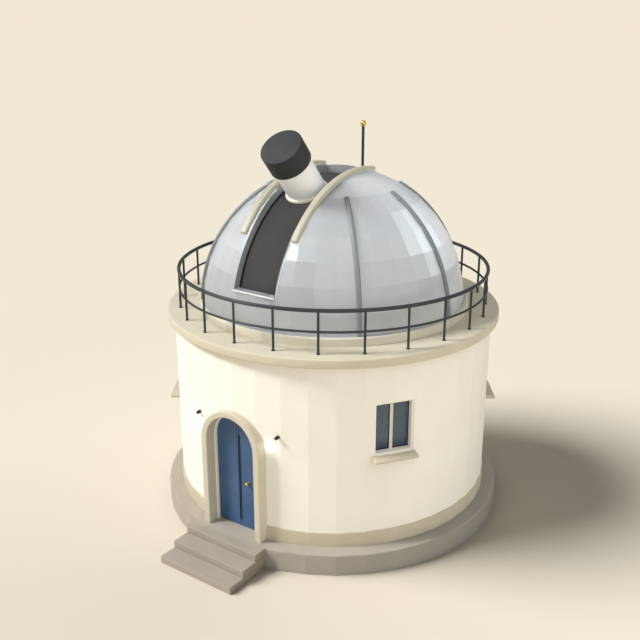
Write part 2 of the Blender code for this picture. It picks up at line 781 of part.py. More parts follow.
def build_coaming():
    """The plates that line the slit: two cheeks, the sill and the head."""
    cheeks = []
    bottom = SLIT_SILL - COAMING
    outline = []
    for radius, direction in ((CHEEK_OUTER, 1), (CHEEK_INNER, -1)):
        first = math.degrees(math.asin((bottom - DOME_CENTRE) / radius))
        last = math.degrees(math.acos(SLIT_BACK / radius))
        arc = arc_points((0, DOME_CENTRE), radius, first, last, 24)
        outline += arc[::direction]
    for name, side in (("left", -1), ("right", 1)):
        limits = sorted((side * SLIT_HALF_WIDTH, side * (SLIT_HALF_WIDTH - COAMING)))
        cheeks.append(prism(f"slit_cheek_{name}", outline, *limits, RIB_METAL, SIDEWAYS))
    coaming = cheeks[0]
    coaming.name = "slit_coaming"
    combine(coaming, cheeks[1], "UNION")
    inner_y = math.sqrt(COAMING_INNER**2 - (SLIT_SILL - DOME_CENTRE) ** 2)
    outer_y = math.sqrt((DOME_RADIUS + 0.01) ** 2 - (SLIT_SILL - DOME_CENTRE) ** 2)
    half = SLIT_HALF_WIDTH - COAMING / 2
    sill = box("slit_sill", (-half, -outer_y, bottom), (half, -inner_y, SLIT_SILL), RIB_METAL)
    combine(coaming, sill, "UNION")
    low = DOME_CENTRE + math.sqrt(COAMING_INNER**2 - SLIT_BACK**2)
    outline = [(half, low), (-half, low)]
    for k in range(13):
        x = half * (k / 6 - 1)
        outline.append((x, DOME_CENTRE + math.sqrt(DOME_RADIUS**2 - SLIT_BACK**2 - x**2)))
    head = prism("slit_head", outline, -SLIT_BACK - COAMING, -SLIT_BACK, RIB_METAL, UPRIGHT)
    combine(coaming, head, "UNION")
    return coaming


def build_rod(skin):
    foot = DOME_CENTRE + math.sqrt(DOME_RADIUS**2 - ROD_Y**2)
    profile = [(0, foot - 0.15), (0.08, foot - 0.15), (0.08, foot + 0.04), (0.045, foot + 0.07)]
    profile += [(ROD_RADIUS, foot + 0.07), (ROD_RADIUS, ROD_TOP)]
    for k in range(1, 7):
        angle = math.radians(-60 + 150 * k / 7)
        profile.append((BALL_RADIUS * math.cos(angle), BALL_Z + BALL_RADIUS * math.sin(angle)))
    profile.append((0, BALL_Z + BALL_RADIUS))
    place = Matrix.Translation((0, ROD_Y, 0))
    rod = lathe("lightning_rod", profile, 16, DARK_METAL, place, closed=False)
    smooth(rod)
    combine(rod, skin, "DIFFERENCE")
    return rod


def rounded_power(value):
    """Squares off a sine or cosine, so that the oval it draws fills its corners a little."""
    return math.copysign(abs(value) ** (2 / SCREEN_HOLE_SQUARENESS), value)


def screen_hole(outer, inner, steps=36):
    """A plug with an oval outline, drawn round the telescope's tube on the windscreen's curve."""
    builder = bmesh.new()
    rings = []
    for radius in (outer, inner):
        ring = []
        for k in range(steps):
            angle = 2 * math.pi * k / steps
            x = SCREEN_HOLE_HALF_WIDTH * rounded_power(math.cos(angle))
            across = SCREEN_HOLE_HALF_ANGLE * rounded_power(math.sin(angle))
            elevation = SCREEN_HOLE_MIDDLE + across
            y, z = dome_point(radius, 0, elevation)[1:]
            ring.append(builder.verts.new((x, y, z)))
        builder.faces.new(ring)
        rings.append(ring)
    for k in range(steps):
        after = (k + 1) % steps
        builder.faces.new((rings[0][k], rings[0][after], rings[1][after], rings[1][k]))
    return add_object("screen_hole_cutter", builder, BLACK)


def build_windscreen(carrier):
    inner = SCREEN_RADIUS - SCREEN_THICKNESS
    centre = (0, DOME_CENTRE)
    outline = arc_points(centre, SCREEN_RADIUS, SCREEN_START, SCREEN_END, 38)
    outline += arc_points(centre, inner, SCREEN_END, SCREEN_START, 38)
    half = SCREEN_HALF_WIDTH
    screen = prism("windscreen", outline, -half, half, BLACK, SIDEWAYS)
    hole = screen_hole(SCREEN_RADIUS + 0.1, inner - 0.1)
    combine(screen, hole, "DIFFERENCE")
    screen.data.transform(Matrix.Translation((0, 0, -DOME_CENTRE)))
    hole.data.transform(Matrix.Translation((0, 0, -DOME_CENTRE)))
    for item in (screen, hole):
        item.parent = carrier


def build_telescope():
    """The pier, the fork that turns on it, and the tube that tilts in the fork."""
    base = PLINTH_HEIGHT + GAP
    pier_top = FORK_BOTTOM - RUNNING_GAP
    profile = [(0, base), (PIER_RADIUS, base), (PIER_RADIUS, pier_top), (0, pier_top)]
    smooth(lathe("telescope_pier", profile, 32, CONCRETE, closed=False))
    profile = [(0, FORK_BOTTOM), (FORK_BASE_RADIUS, FORK_BOTTOM)]
    profile += [(FORK_BASE_RADIUS, FORK_BASE_TOP), (0, FORK_BASE_TOP)]
    fork = lathe("telescope_fork", profile, 32, DARK_METAL, closed=False)
    for side in (-1, 1):
        outline = [(-ARM_HALF_DEPTH, FORK_BOTTOM + 0.05), (ARM_HALF_DEPTH, FORK_BOTTOM + 0.05)]
        outline += arc_points((0, PIVOT_Z), ARM_HALF_DEPTH, 0, 180, 12)
        limits = sorted((side * ARM_INNER, side * ARM_OUTER))
        arm = prism(f"fork_arm_{side}", outline, *limits, DARK_METAL, SIDEWAYS)
        combine(fork, arm, "UNION")
    along = Matrix.Translation((0, 0, PIVOT_Z)) @ Matrix.Rotation(
        math.radians(90 - ALTITUDE), 4, "X"
    )
    pivot = bpy.data.objects.new("altitude_axis", None)
    bpy.context.scene.collection.objects.link(pivot)
    pivot.matrix_world = along
    inside = TUBE_RADIUS - TUBE_WALL
    floor = MIRROR_CELL - TUBE_REAR
    edge = COLLAR_RADIUS - TUBE_RADIUS
    lip = arc_points((COLLAR_RADIUS - edge, COLLAR_START + edge), edge, -90, 0, 3)
    profile = [(0, -TUBE_REAR), (TUBE_RADIUS, -TUBE_REAR), *lip, (COLLAR_RADIUS, COLLAR_END)]
    profile += [(TUBE_RADIUS, COLLAR_END + COLLAR_SHOULDER), (TUBE_RADIUS, TUBE_FRONT)]
    profile += [(inside, TUBE_FRONT), (inside, floor), (0, floor)]
    tube = lathe("telescope_tube", profile, 32, WHITE_PAINT, closed=False)
    smooth(tube)
    for side in (-1, 1):
        ends = sorted((side * TRUNNION_START, side * (ARM_INNER - RUNNING_GAP)))
        profile = [(0, ends[0]), (TRUNNION_RADIUS, ends[0]), (TRUNNION_RADIUS, ends[1])]
        sideways = Matrix.Rotation(math.radians(90), 4, "Y")
        boss = lathe(
            f"trunnion_{side}", [*profile, (0, ends[1])], 32, DARK_METAL, sideways, closed=False
        )
        combine(tube, boss, "UNION")
        boss.parent = pivot
    bore = TUBE_RADIUS + 2 * GAP
    seat = TUBE_FRONT + GAP
    edge = 0.02
    profile = [(bore, CAP_REAR), (CAP_RADIUS, CAP_REAR), (CAP_RADIUS, CAP_FRONT - edge)]
    profile += [(CAP_RADIUS - edge, CAP_FRONT), (0, CAP_FRONT), (0, CAP_FRONT - CAP_FACE)]
    profile += [(inside, CAP_FRONT - CAP_FACE), (inside, seat), (bore, seat)]
    cap = lathe("telescope_cap", profile, 32, BLACK)
    smooth(cap)
    for item in (tube, cap):
        item.parent = pivot


def build():
    turning = bpy.data.objects.new("dome_axis", None)
    bpy.context.scene.collection.objects.link(turning)
    carrier = bpy.data.objects.new("windscreen_axis", None)
    bpy.context.scene.collection.objects.link(carrier)
    carrier.location = (0, 0, DOME_CENTRE)
    build_base()
    build_walls()
    build_door_surround()
    build_door_leaves()
    build_lamps()
    build_windows()
    build_gallery()
    build_railing()
    build_dome(turning)
    build_windscreen(carrier)
    build_telescope()
    bpy.context.view_layer.update()


build()
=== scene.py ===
"""The looks of a small astronomical observatory: its finishes, its windows, lamps, railing,
telescope and small fittings, with the floor, the light and the camera. Metres, +Z up, in the
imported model's frame. An azimuth of 0 points at the door, and grows towards +X."""

import json
import math

import bmesh
import bpy
from mathutils import Matrix, Vector

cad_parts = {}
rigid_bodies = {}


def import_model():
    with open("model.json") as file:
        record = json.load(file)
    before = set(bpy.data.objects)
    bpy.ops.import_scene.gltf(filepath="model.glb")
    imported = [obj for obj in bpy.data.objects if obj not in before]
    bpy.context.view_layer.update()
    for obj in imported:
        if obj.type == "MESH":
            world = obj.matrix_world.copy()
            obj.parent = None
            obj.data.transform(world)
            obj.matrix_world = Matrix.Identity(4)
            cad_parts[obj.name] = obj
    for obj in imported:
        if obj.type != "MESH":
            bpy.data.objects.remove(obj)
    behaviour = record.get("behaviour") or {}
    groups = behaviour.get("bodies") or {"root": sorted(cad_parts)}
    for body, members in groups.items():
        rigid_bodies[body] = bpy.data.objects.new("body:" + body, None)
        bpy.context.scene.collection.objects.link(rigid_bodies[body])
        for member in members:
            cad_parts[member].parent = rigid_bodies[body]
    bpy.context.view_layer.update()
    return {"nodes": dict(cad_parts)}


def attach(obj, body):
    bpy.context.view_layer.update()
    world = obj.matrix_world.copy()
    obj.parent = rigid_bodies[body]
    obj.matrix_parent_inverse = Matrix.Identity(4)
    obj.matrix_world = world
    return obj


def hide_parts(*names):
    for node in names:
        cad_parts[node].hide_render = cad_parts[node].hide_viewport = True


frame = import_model()
NODES = frame["nodes"]

# Camera
CAMERA_PLACE = (11.112, -16.083, 11.028)
CAMERA_TILT = 70.767
CAMERA_TURN = 35.517
CAMERA_LENS = 50.15
CAMERA_SENSOR = 36
CAMERA_REACH = 1000

# Steps round a turned piece
RING_STEPS = 160
TUBE_STEPS = 96
TRUNNION_STEPS = 48
CAP_STEPS = 64
SMALL_STEPS = 32

# Closeness at which the two ends of a closed profile are welded
WELD = 0.00001

# The two sides, each with the sign of its X
SIDES = (("left", -1), ("right", 1))

# Round wall
WALL_RADIUS = 3.6
FACET = 9

# Wall lamps
LAMP_AZIMUTH = 16.9
LAMP_HALF = 0.046  # half of its diagonal
LAMP_FRONT = 3.528
LAMP_OUT = 0.04  # of its middle beyond the wall's radius
LAMP_Z = 2.906
LAMP_EDGE = 0.002
LAMP_STANDOFF = 0.001
LENS_RADIUS = 0.02
LENS_EDGE = 0.002
LENS_CROWN = 0.004
LENS_BACK = 0.03

# Windows
WINDOWS = {"front_left": -55, "front_right": 55, "rear_left": -125, "rear_right": 125}
WINDOW_HALF_WIDTH = 0.4297
WINDOW_LOW = 2.5203
WINDOW_HIGH = 3.6717
WINDOW_FRONT = 3.551
WINDOW_BACK = 3.381
WINDOW_BORDER = 0.041
MULLION_HALF_WIDTH = 0.037
MULLION_FRONT = 3.425
WOOD_EDGE = 0.005
PANE_FRONT = 3.40
PANE_THICKNESS = 0.012
GASKET = 0.014
GASKET_PROUD = 0.014
GASKET_EDGE = 0.002
REBATE = 0.002  # how far a mullion or pane goes under what holds it
# Painted shade on the glass: between these heights the pane grows darker towards its foot.
GLASS_SHADE_FADE = (0.04, 0.30)  # heights over the window's foot

# Gallery railing
RAIL_RADIUS = 3.468
RAIL_Z = 5.5995
MID_RAIL_Z = 5.166
RAIL_TUBE = 0.04
MID_RAIL_TUBE = 0.025
POST_TUBE = 0.026
POST_STEP = 15
DECK = 4.708
SLAB_INNER = 2.86
SLAB_OUTER = 3.762
SLAB_LOW = 4.513
SLAB_HIGH = 4.7077
SLAB_EDGE = 0.03
CURB_INNER = 2.90
CURB_OUTER = 3.072
CURB_HIGH = 4.882
CURB_EDGE = 0.02
CURB_GAP = 0.0003
PANELS = 6
PANEL_GAP = 0.01  # degrees
FLANGE_RADIUS = 0.042
FLANGE_HEIGHT = 0.012
FLANGE_EDGE = 0.003
WELD_BEAD = 0.006
WELD_BEAD_HEIGHT = 0.008

# Telescope
ALTITUDE = 49.4
PIVOT_Z = 6.243
TUBE_RADIUS = 0.411
TUBE_REAR = -1.3
TUBE_FRONT = 2.8
TUBE_BORE = 0.383
TUBE_EDGE = 0.02
TRUNNION_RADIUS = 0.16
TRUNNION_START = 0.37
TRUNNION_END = 0.4995
TRUNNION_EDGE = 0.01
COLLAR_ALONG = 1.49
COLLAR_LEAN = 69.3
COLLAR_RADIUS = 0.458
COLLAR_INNER = 0.39
COLLAR_HIGH = 0.05
COLLAR_LOW = -0.024
COLLAR_EDGE = 0.022
COLLAR_STRETCH = 1.045
COLLAR_SHIFT = 0.014
MIRROR_FACE = -0.4
NECK_RADIUS = 0.448
NECK_LOW = -0.05
SCREEN_RADIUS = 2.75
SCREEN_HOLE_MIDDLE = 68.4
SCREEN_HOLE_HALF_ANGLE = 11.5
SCREEN_HOLE_HALF_WIDTH = 0.466
SCREEN_HOLE_SQUARENESS = 2.2
FLAP_SIDE_GAP = 0.009
FLAP_FRONT_GAP = 0.2  # degrees
FLAP_REAR_GAP = 0.9  # degrees
FLAP_THICKNESS = 0.012
FLAP_DROP = 0.001
FLAP_INNER_MIDDLE = 69.3
FLAP_INNER_HALF_WIDTH = 0.397
FLAP_INNER_HALF_ANGLE = 8.8
CAP_RADIUS = 0.4585
CAP_REAR = 2.383
CAP_FRONT = 2.8695
CAP_EDGE = 0.02
CAP_REAR_EDGE = 0.006
CAP_FIT = 0.0006
CAP_SEAT = 0.0003

# Dome
DOME_CENTRE = 4.812
DOME_RADIUS = 2.966
RING_INNER = 2.86
RING_OUTER = 3.0
RING_LOW = 4.8825
RING_HIGH = 4.8975
UPSTAND_OUTER = 2.90
UPSTAND_TOP = 5.0
RIB_AZIMUTHS = (-135, -90, -45, 45, 90, 135, 180)
RIB_START = 1.5
RIB_END = 60.3
RIB_HALF_WIDTH = 0.053
RIB_TOP = 3.011
RIB_LOW = 2.945
BAR_CORNER = 0.04
BOW_STEPS = 24
THINNEST = 0.002  # half of a bar's width where its tip ends
SHUTTER_RAIL_X = 0.657
SHUTTER_RAIL_HALF_WIDTH = 0.081
SHUTTER_RAIL_TOP = 3.01
SHUTTER_RAIL_LOW = 2.92
SHUTTER_RAIL_START = 38
SHUTTER_RAIL_END = 101
SHUTTER_RAIL_TIP = 0.03
SLIT_EDGE_X = 0.5385
SLIT_SILL = 5.577
SLIT_SILL_FRONT = 2.876
OUTER_SKIN = 2.94
EDGE_TOLERANCE = 0.0005
CHEEK_FACE_X = 0.5233
SEAL_HALF_WIDTH = 0.019
SEAL_HEIGHT = 0.022
SEAL_START = 16.5
SEAL_END = 74
SEAL_GAP = 0.004
SEAL_CORNER = 0.004
LIP_RADIUS = 0.011
SILL_LIP_RADIUS = 0.018
SILL_LIP_INSET = 0.008
ROD_Y = 1.17
ROD_TOP = 8.54
BALL_Z = 8.585
BALL_RADIUS = 0.068
ROD_RADIUS = 0.033
ROD_FOOT = (  # radius and height above the dome's skin
    (0, -0.07), (0.08, -0.07), (0.08, 0.034), (0.074, 0.04), (0.045, 0.07), (ROD_RADIUS, 0.078)
)

# Door knob
LEAF_FACE = 3.4303
KNOB_X = 0.231
KNOB_Z = 1.58
KNOB_RADIUS = 0.045
KNOB_CENTRE = 0.052
KNOB_ROSE = ((0, 0), (0.034, 0), (0.034, 0.003), (0.032, 0.005), (0.02, 0.007))

# Floor and light. Each sun has its direction, its strength, its spread in degrees and its colour.
FLOOR_COLOURS = ((209, 201, 184), (208, 200, 183))
FLOOR_REACH = 400
FLOOR_Z = -0.0005
# Painted shadow on the floor: its colour falls to this share at the place in front of the door, and
# is whole again at the reach.
FLOOR_PAINTED_SHADE = 0.862
PAINTED_SHADE_PLACE = (0, -6.2)
PAINTED_SHADE_REACH = 9.5
BACKDROP = (242, 232, 213)
AMBIENT = 0.28
WHITE = (1, 1, 1)
KEY = {"azimuth": -49, "elevation": 43, "strength": 3.25, "spread": 15, "colour": WHITE}
FLOOR_KEY = {**KEY, "azimuth": -53, "strength": 5.15, "spread": 34}
RAIL_KEY = {**KEY, "strength": 3.1}
FILL = {"azimuth": 74, "elevation": 25, "strength": 1.68, "spread": 100, "colour": WHITE}
LOW_FILL = {**FILL, "strength": 0.95, "colour": (0.79, 0.95, 1.13)}
JAMB_FILL = {
    "azimuth": -15, "elevation": 15, "strength": 0.36, "spread": 30, "colour": (1, 0.95, 1)
}
DOOR_FILL = {
    "azimuth": 30, "elevation": 10, "strength": 0.5, "spread": 30, "colour": (0.98, 0.98, 1)
}
HEAD_FILL = {"azimuth": 0, "elevation": 20, "strength": 0.8, "spread": 40, "colour": WHITE}
LIP_LIGHT = {"azimuth": 20, "elevation": 55, "strength": 5, "spread": 20, "colour": WHITE}
BLUISH = (0.9, 0.95, 1)
WARM = (1, 0.98, 0.95)
GLOSSES = (
    {"azimuth": 149, "elevation": 28, "strength": 0.88, "spread": 34, "colour": BLUISH},
    {"azimuth": -36, "elevation": 48, "strength": 0.62, "spread": 42, "colour": WHITE},
    {"azimuth": -165, "elevation": 45, "strength": 0.48, "spread": 50, "colour": WARM},
    {"azimuth": 166, "elevation": 4, "strength": 0.6, "spread": 50, "colour": WHITE},
    {"azimuth": -92, "elevation": 6, "strength": 0.5, "spread": 50, "colour": WHITE},
)
SUN_DISTANCE = 30
GLOW_ENERGY = 1.0
GLOW_SIZE = 0.03
GLOW_OUT = 0.09
GLOW_SHIFT = 0.215
GLOW_DROP = 0.26
INSIDE_ENERGY = 40
INSIDE_SIZE = 0.1
INSIDE_PLACE = (0.9, 0.2, 6.9)
LOW_FILLED = ("plinth",)
UNFILLED = (*LOW_FILLED, "step_")
UNKEYED = ("windscreen", "tube_flap")
SHUTTER_RAILS = ("rail_left", "rail_right")


def linear(red, green, blue):
    """A display colour of 0 to 255 a channel, as the shader's linear values."""
    values = []
    for channel in (red, green, blue):
        share = channel / 255
        values.append(share / 12.92 if share <= 0.04045 else ((share + 0.055) / 1.055) ** 2.4)
    return (*values, 1)


class Surface:
    """A procedural material under construction. Its patterns use the object's own coordinates."""

    def __init__(self, name, roughness, metallic=0.0, specular=0.5):
        self.material = bpy.data.materials.new(name)
        self.material.use_nodes = True
        self.tree = self.material.node_tree
        self.shader = self.tree.nodes["Principled BSDF"]
        self.shader.inputs["Roughness"].default_value = roughness
        self.shader.inputs["Metallic"].default_value = metallic
        self.shader.inputs["Specular IOR Level"].default_value = specular
        self.place = self.node("ShaderNodeTexCoord").outputs["Object"]

    def node(self, kind, **settings):
        made = self.tree.nodes.new(kind)
        for name, value in settings.items():
            setattr(made, name, value)
        return made

    def link(self, source, target):
        self.tree.links.new(source, target)

    def stretched(self, factors):
        mapping = self.node("ShaderNodeMapping")
        mapping.inputs["Scale"].default_value = factors
        self.link(self.place, mapping.inputs["Vector"])
        return mapping.outputs["Vector"]

    def noise(self, scale, detail=4.0, stretch=None):
        made = self.node("ShaderNodeTexNoise")
        made.inputs["Scale"].default_value = scale
        made.inputs["Detail"].default_value = detail
        self.link(self.stretched(stretch) if stretch else self.place, made.inputs["Vector"])
        return made.outputs["Fac"]

    def maths(self, operation, first, second):
        made = self.node("ShaderNodeMath", operation=operation)
        for socket, value in zip(made.inputs, (first, second)):
            if isinstance(value, (int, float)):
                socket.default_value = value
            else:
                self.link(value, socket)
        return made.outputs["Value"]

    def ranged(self, value, low, high, out_low=0.0, out_high=1.0):
        made = self.node("ShaderNodeMapRange")
        self.link(value, made.inputs["Value"])
        names = ("From Min", "From Max", "To Min", "To Max")
        for name, number in zip(names, (low, high, out_low, out_high)):
            made.inputs[name].default_value = number
        return made.outputs["Result"]

    def mixed(self, factor, first, second):
        """Each colour is a tuple or the output of another node."""
        made = self.node("ShaderNodeMix", data_type="RGBA")
        self.link(factor, made.inputs["Factor"])
        sockets = [socket for socket in made.inputs if socket.type == "RGBA"]
        for socket, colour in zip(sockets, (first, second)):
            if isinstance(colour, tuple):
                socket.default_value = colour
            else:
                self.link(colour, socket)
        return [socket for socket in made.outputs if socket.type == "RGBA"][0]

    def height(self):
        split = self.node("ShaderNodeSeparateXYZ")
        self.link(self.place, split.inputs["Vector"])
        return split.outputs["Z"]

    def colour(self, source):
        self.link(source, self.shader.inputs["Base Color"])

    def roughness(self, source, low, high):
        self.link(self.ranged(source, 0.3, 0.7, low, high), self.shader.inputs["Roughness"])

    def bump(self, source, distance, strength=1.0, under=None):
        made = self.node("ShaderNodeBump")
        made.inputs["Distance"].default_value = distance
        made.inputs["Strength"].default_value = strength
        self.link(source, made.inputs["Height"])
        if under:
            self.link(under, made.inputs["Normal"])
        self.link(made.outputs["Normal"], self.shader.inputs["Normal"])
        return made.outputs["Normal"]


def mineral(name, light, dark, coarse, grain, depth, roughness):
    """Plaster, cast stone or concrete: clouds of two tones over a fine grain."""
    surface = Surface(name, roughness, specular=0.25)
    clouds = surface.noise(coarse, 5)
    grains = surface.noise(grain, 3)
    tone = surface.mixed(surface.ranged(clouds, 0.3, 0.7), light, dark)
    speck = surface.ranged(grains, 0.35, 0.75, 0.0, 0.12)
    surface.colour(surface.mixed(speck, tone, tuple(0.6 * value for value in dark[:3]) + (1,)))
    surface.roughness(clouds, roughness - 0.06, roughness + 0.06)
    soft = surface.bump(clouds, depth * 3, 0.35)
    surface.bump(grains, depth, 0.6, soft)
    return surface.material


def painted(name, light, dark, roughness, metallic=0.0, specular=0.5, depth=0.0006, scale=1.6):
    """Paint on metal or wood: faint clouds, a slight orange peel and a varied gloss."""
    surface = Surface(name, roughness, metallic, specular)
    clouds = surface.noise(scale, 4)
    surface.colour(surface.mixed(surface.ranged(clouds, 0.35, 0.65), light, dark))
    surface.roughness(clouds, roughness - 0.05, roughness + 0.05)
    surface.bump(surface.noise(160, 2), depth, 0.4)
    return surface.material


def make_materials():
    """All the finishes, by the names that the pieces are given."""
    made = {}
    made["plaster"] = mineral(
        "plaster", linear(247, 243, 229), linear(244, 239, 225), 1.3, 70, 0.0015, 0.8
    )
    made["trim"] = mineral(
        "cast_trim", linear(210, 202, 180), linear(204, 196, 174), 1.8, 90, 0.001, 0.75
    )
    made["low_trim"] = mineral(
        "low_trim", linear(203, 194, 171), linear(197, 188, 165), 1.8, 90, 0.001, 0.75
    )
    # A lighter copy of the trim: painted light that offsets the dome's shade on the curb.
    made["curb"] = mineral(
        "curb_stone", linear(220, 213, 194), linear(215, 208, 189), 1.8, 90, 0.001, 0.75
    )
    made["surround"] = mineral(
        "surround_stone", linear(206, 198, 177), linear(200, 192, 171), 1.8, 90, 0.001, 0.75
    )
    made["stone"] = mineral(
        "grey_stone", linear(179, 170, 155), linear(173, 164, 149), 1.4, 45, 0.003, 0.85
    )
    made["concrete"] = mineral(
        "concrete", linear(150, 148, 142), linear(134, 132, 126), 1.2, 50, 0.003, 0.85
    )
    made["dome"] = painted(
        "dome_panels", linear(180, 183, 185), linear(176, 180, 183), 0.33, 0.3, 0.5, 0.0001, 0.9
    )
    # Near white: painted highlight, standing in for the light caught along the bevelled cut edges
    # of the slit.
    made["lip"] = painted("slit_lip", linear(238, 239, 238), linear(232, 233, 232), 0.35)
    made["rib"] = painted("dome_ribs", linear(134, 139, 142), linear(127, 132, 135), 0.5, 0.2)
    made["coaming"] = painted("slit_lining", linear(152, 156, 159), linear(144, 148, 151), 0.5, 0.2)
    made["rail"] = painted("rail_paint", linear(190, 185, 166), linear(183, 178, 159), 0.5)
    made["railing"] = painted("railing_paint", linear(52, 56, 58), linear(44, 48, 50), 0.45, 0.2)
    made["door"] = painted("door_paint", linear(60, 92, 132), linear(55, 85, 124), 0.42)
    made["strip"] = painted("strip_paint", linear(22, 30, 38), linear(17, 25, 32), 0.5)
    made["frame"] = painted("frame_paint", linear(234, 226, 210), linear(229, 220, 205), 0.5)
    made["window_frame"] = painted(
        "window_frame_paint", linear(243, 239, 228), linear(240, 235, 224), 0.6, specular=0.3
    )
    # A darker copy of the window woodwork's paint: painted shade for the recessed mullion.
    made["mullion"] = painted("mullion_paint", linear(214, 207, 191), linear(209, 202, 186), 0.5)
    # Near black: painted shadow along the join between the slit's cheeks and the screen.
    made["seal"] = painted("seal_rubber", linear(22, 23, 24), linear(18, 19, 20), 0.8)
    made["tube"] = painted("tube_paint", linear(249, 251, 251), linear(246, 248, 248), 0.4)
    made["collar"] = painted("collar_paint", linear(243, 238, 223), linear(240, 234, 218), 0.45)
    made["cap"] = painted("cap_plastic", linear(46, 48, 49), linear(43, 45, 46), 0.6, specular=0.35)
    made["fork"] = painted("fork_paint", linear(70, 74, 76), linear(62, 66, 68), 0.5, 0.3)
    made["brass"] = painted("brass", linear(224, 190, 106), linear(210, 174, 88), 0.34, 1.0)
    made["lamp"] = painted("lamp_paint", linear(38, 37, 32), linear(31, 30, 26), 0.5, 0.2)
    made["canvas"] = make_canvas()
    made["glass"] = make_glass()
    made["lens"] = make_lens()
    return made


def make_canvas():
    """Dark sailcloth: a fine weave over faint clouds."""
    surface = Surface("screen_canvas", 0.8, specular=0.2)
    clouds = surface.noise(2.2, 4)
    share = surface.ranged(clouds, 0.3, 0.7)
    surface.colour(surface.mixed(share, linear(107, 107, 108), linear(102, 102, 103)))
    across = surface.node("ShaderNodeTexWave", bands_direction="X", wave_profile="SIN")
    across.inputs["Scale"].default_value = 60
    surface.link(surface.place, across.inputs["Vector"])
    surface.bump(across.outputs["Fac"], 0.0006, 0.4)
    return surface.material


def make_glass():
    """A dark opaque pane with painted shade: a blue-grey that stands in for the unlit room behind
    it, painted darker towards the bottom.
    """
    surface = Surface("window_glass", 0.12, specular=0.5)
    low, high = GLASS_SHADE_FADE
    fade = surface.ranged(surface.height(), WINDOW_LOW + low, WINDOW_LOW + high)
    surface.colour(surface.mixed(fade, linear(44, 60, 82), linear(72, 89, 101)))
    surface.bump(surface.noise(3.0, 2), 0.002, 0.15)
    return surface.material


def make_lens():
    """The lamp's small glowing lens."""
    surface = Surface("lamp_lens", 0.3)
    clouds = surface.noise(60, 2)
    tint = surface.mixed(clouds, linear(255, 236, 196), linear(255, 226, 176))
    surface.colour(tint)
    surface.link(tint, surface.shader.inputs["Emission Color"])
    surface.shader.inputs["Emission Strength"].default_value = 6.0
    return surface.material


MATERIALS = make_materials()

NODE_FINISHES = {
    "plinth": "stone",
    "step_": "stone",
    "wall_": "plaster",
    "base_band": "low_trim",
    "door_surround": "surround",
    "window_sill": "low_trim",
    "door_frame": "frame",
    "door_leaf": "door",
    "meeting_strip": "strip",
    "shell_": "dome",
    "slit_coaming": "coaming",
    "windscreen": "canvas",
    "telescope_pier": "concrete",
    "telescope_fork": "fork",
}


def dress_nodes():
    """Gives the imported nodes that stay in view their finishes."""
    for name, item in NODES.items():
        for start, finish in NODE_FINISHES.items():
            if name.startswith(start):
                item.data.materials.clear()
                item.data.materials.append(MATERIALS[finish])


def polar(radius, azimuth):
    """The x and y of a point at this radius and azimuth."""
    angle = math.radians(azimuth)
    return (radius * math.sin(angle), -radius * math.cos(angle))


def turned(azimuth):
    """Turns what faces the door's way to face this azimuth."""
    return Matrix.Rotation(math.radians(azimuth), 4, "Z")


def finish_mesh(name, builder, finish, place=None, angle=30):
    """A new object from a bmesh, moved by the matrix place, smooth below the angle."""
    bmesh.ops.recalc_face_normals(builder, faces=builder.faces)
    if place is not None:
        bmesh.ops.transform(builder, matrix=place, verts=builder.verts)
    mesh = bpy.data.meshes.new(name)
    builder.to_mesh(mesh)
    builder.free()
    mesh.materials.append(MATERIALS[finish])
    mesh.shade_smooth()
    mesh.set_sharp_from_angle(angle=math.radians(angle))
    item = bpy.data.objects.new(name, mesh)
    bpy.context.scene.collection.objects.link(item)
    return item


def bridge(builder, first, second):
    """Joins two rings of as many vertices by quads."""
    count = len(first)
    for k in range(count):
        after = (k + 1) % count
        builder.faces.new((first[k], first[after], second[after], second[k]))


def close_bar(builder, rings):
    """Joins a row of rings to a bar and closes both of its ends."""
    for first, second in zip(rings, rings[1:]):
        bridge(builder, first, second)
    builder.faces.new(rings[0])
    builder.faces.new(rings[-1])


def close_block(builder, front, back):
    """Closes two rings as faces and joins them."""
    builder.faces.new(front)
    builder.faces.new(back)
    bridge(builder, front, back)


def add_prism(builder, outline, low, high, place=None):
    """Extrudes an outline of (x, y) points along z."""
    rings = []
    for height in (low, high):
        rings.append([builder.verts.new((x, y, height)) for x, y in outline])
    close_block(builder, *rings)
    if place is not None:
        bmesh.ops.transform(builder, matrix=place, verts=rings[0] + rings[1])


def add_box(builder, low, high):
    """A box between two opposite corners."""
    outline = [(low[0], low[1]), (high[0], low[1]), (high[0], high[1]), (low[0], high[1])]
    add_prism(builder, outline, low[2], high[2])


def add_lathe(builder, profile, steps, place=None):
    """Turns an open profile of (radius, height) points about z. Radius 0 is on the axis."""
    rings = []
    made = []
    for radius, height in profile:
        if radius == 0:
            ring = [builder.verts.new((0, 0, height))]
        else:
            points = [polar(radius, 360 * k / steps) for k in range(steps)]
            ring = [builder.verts.new((x, y, height)) for x, y in points]
        rings.append(ring)
        made += ring
    for first, second in zip(rings, rings[1:]):
        for k in range(steps):
            after = (k + 1) % steps
            corners = [first[k % len(first)], first[after % len(first)]]
            corners += [second[after % len(second)], second[k % len(second)]]
            corners = list(dict.fromkeys(corners))
            if len(corners) > 2:
                builder.faces.new(corners)
    if place is not None:
        bmesh.ops.transform(builder, matrix=place, verts=made)


def add_ring(builder, profile, steps, place=None):
    """A lathe of a profile that ends where it starts, welded there."""
    add_lathe(builder, profile, steps, place)
    bmesh.ops.remove_doubles(builder, verts=builder.verts, dist=WELD)


def rounded(radius, height, edge, steps=4):
    """Points of a rounded rim: from the side at height - edge to the face at height."""
    points = []
    for k in range(steps + 1):
        angle = math.radians(90 * k / steps)
        across = radius - edge + edge * math.cos(angle)
        points.append((across, height + edge * (math.sin(angle) - 1)))
    return points


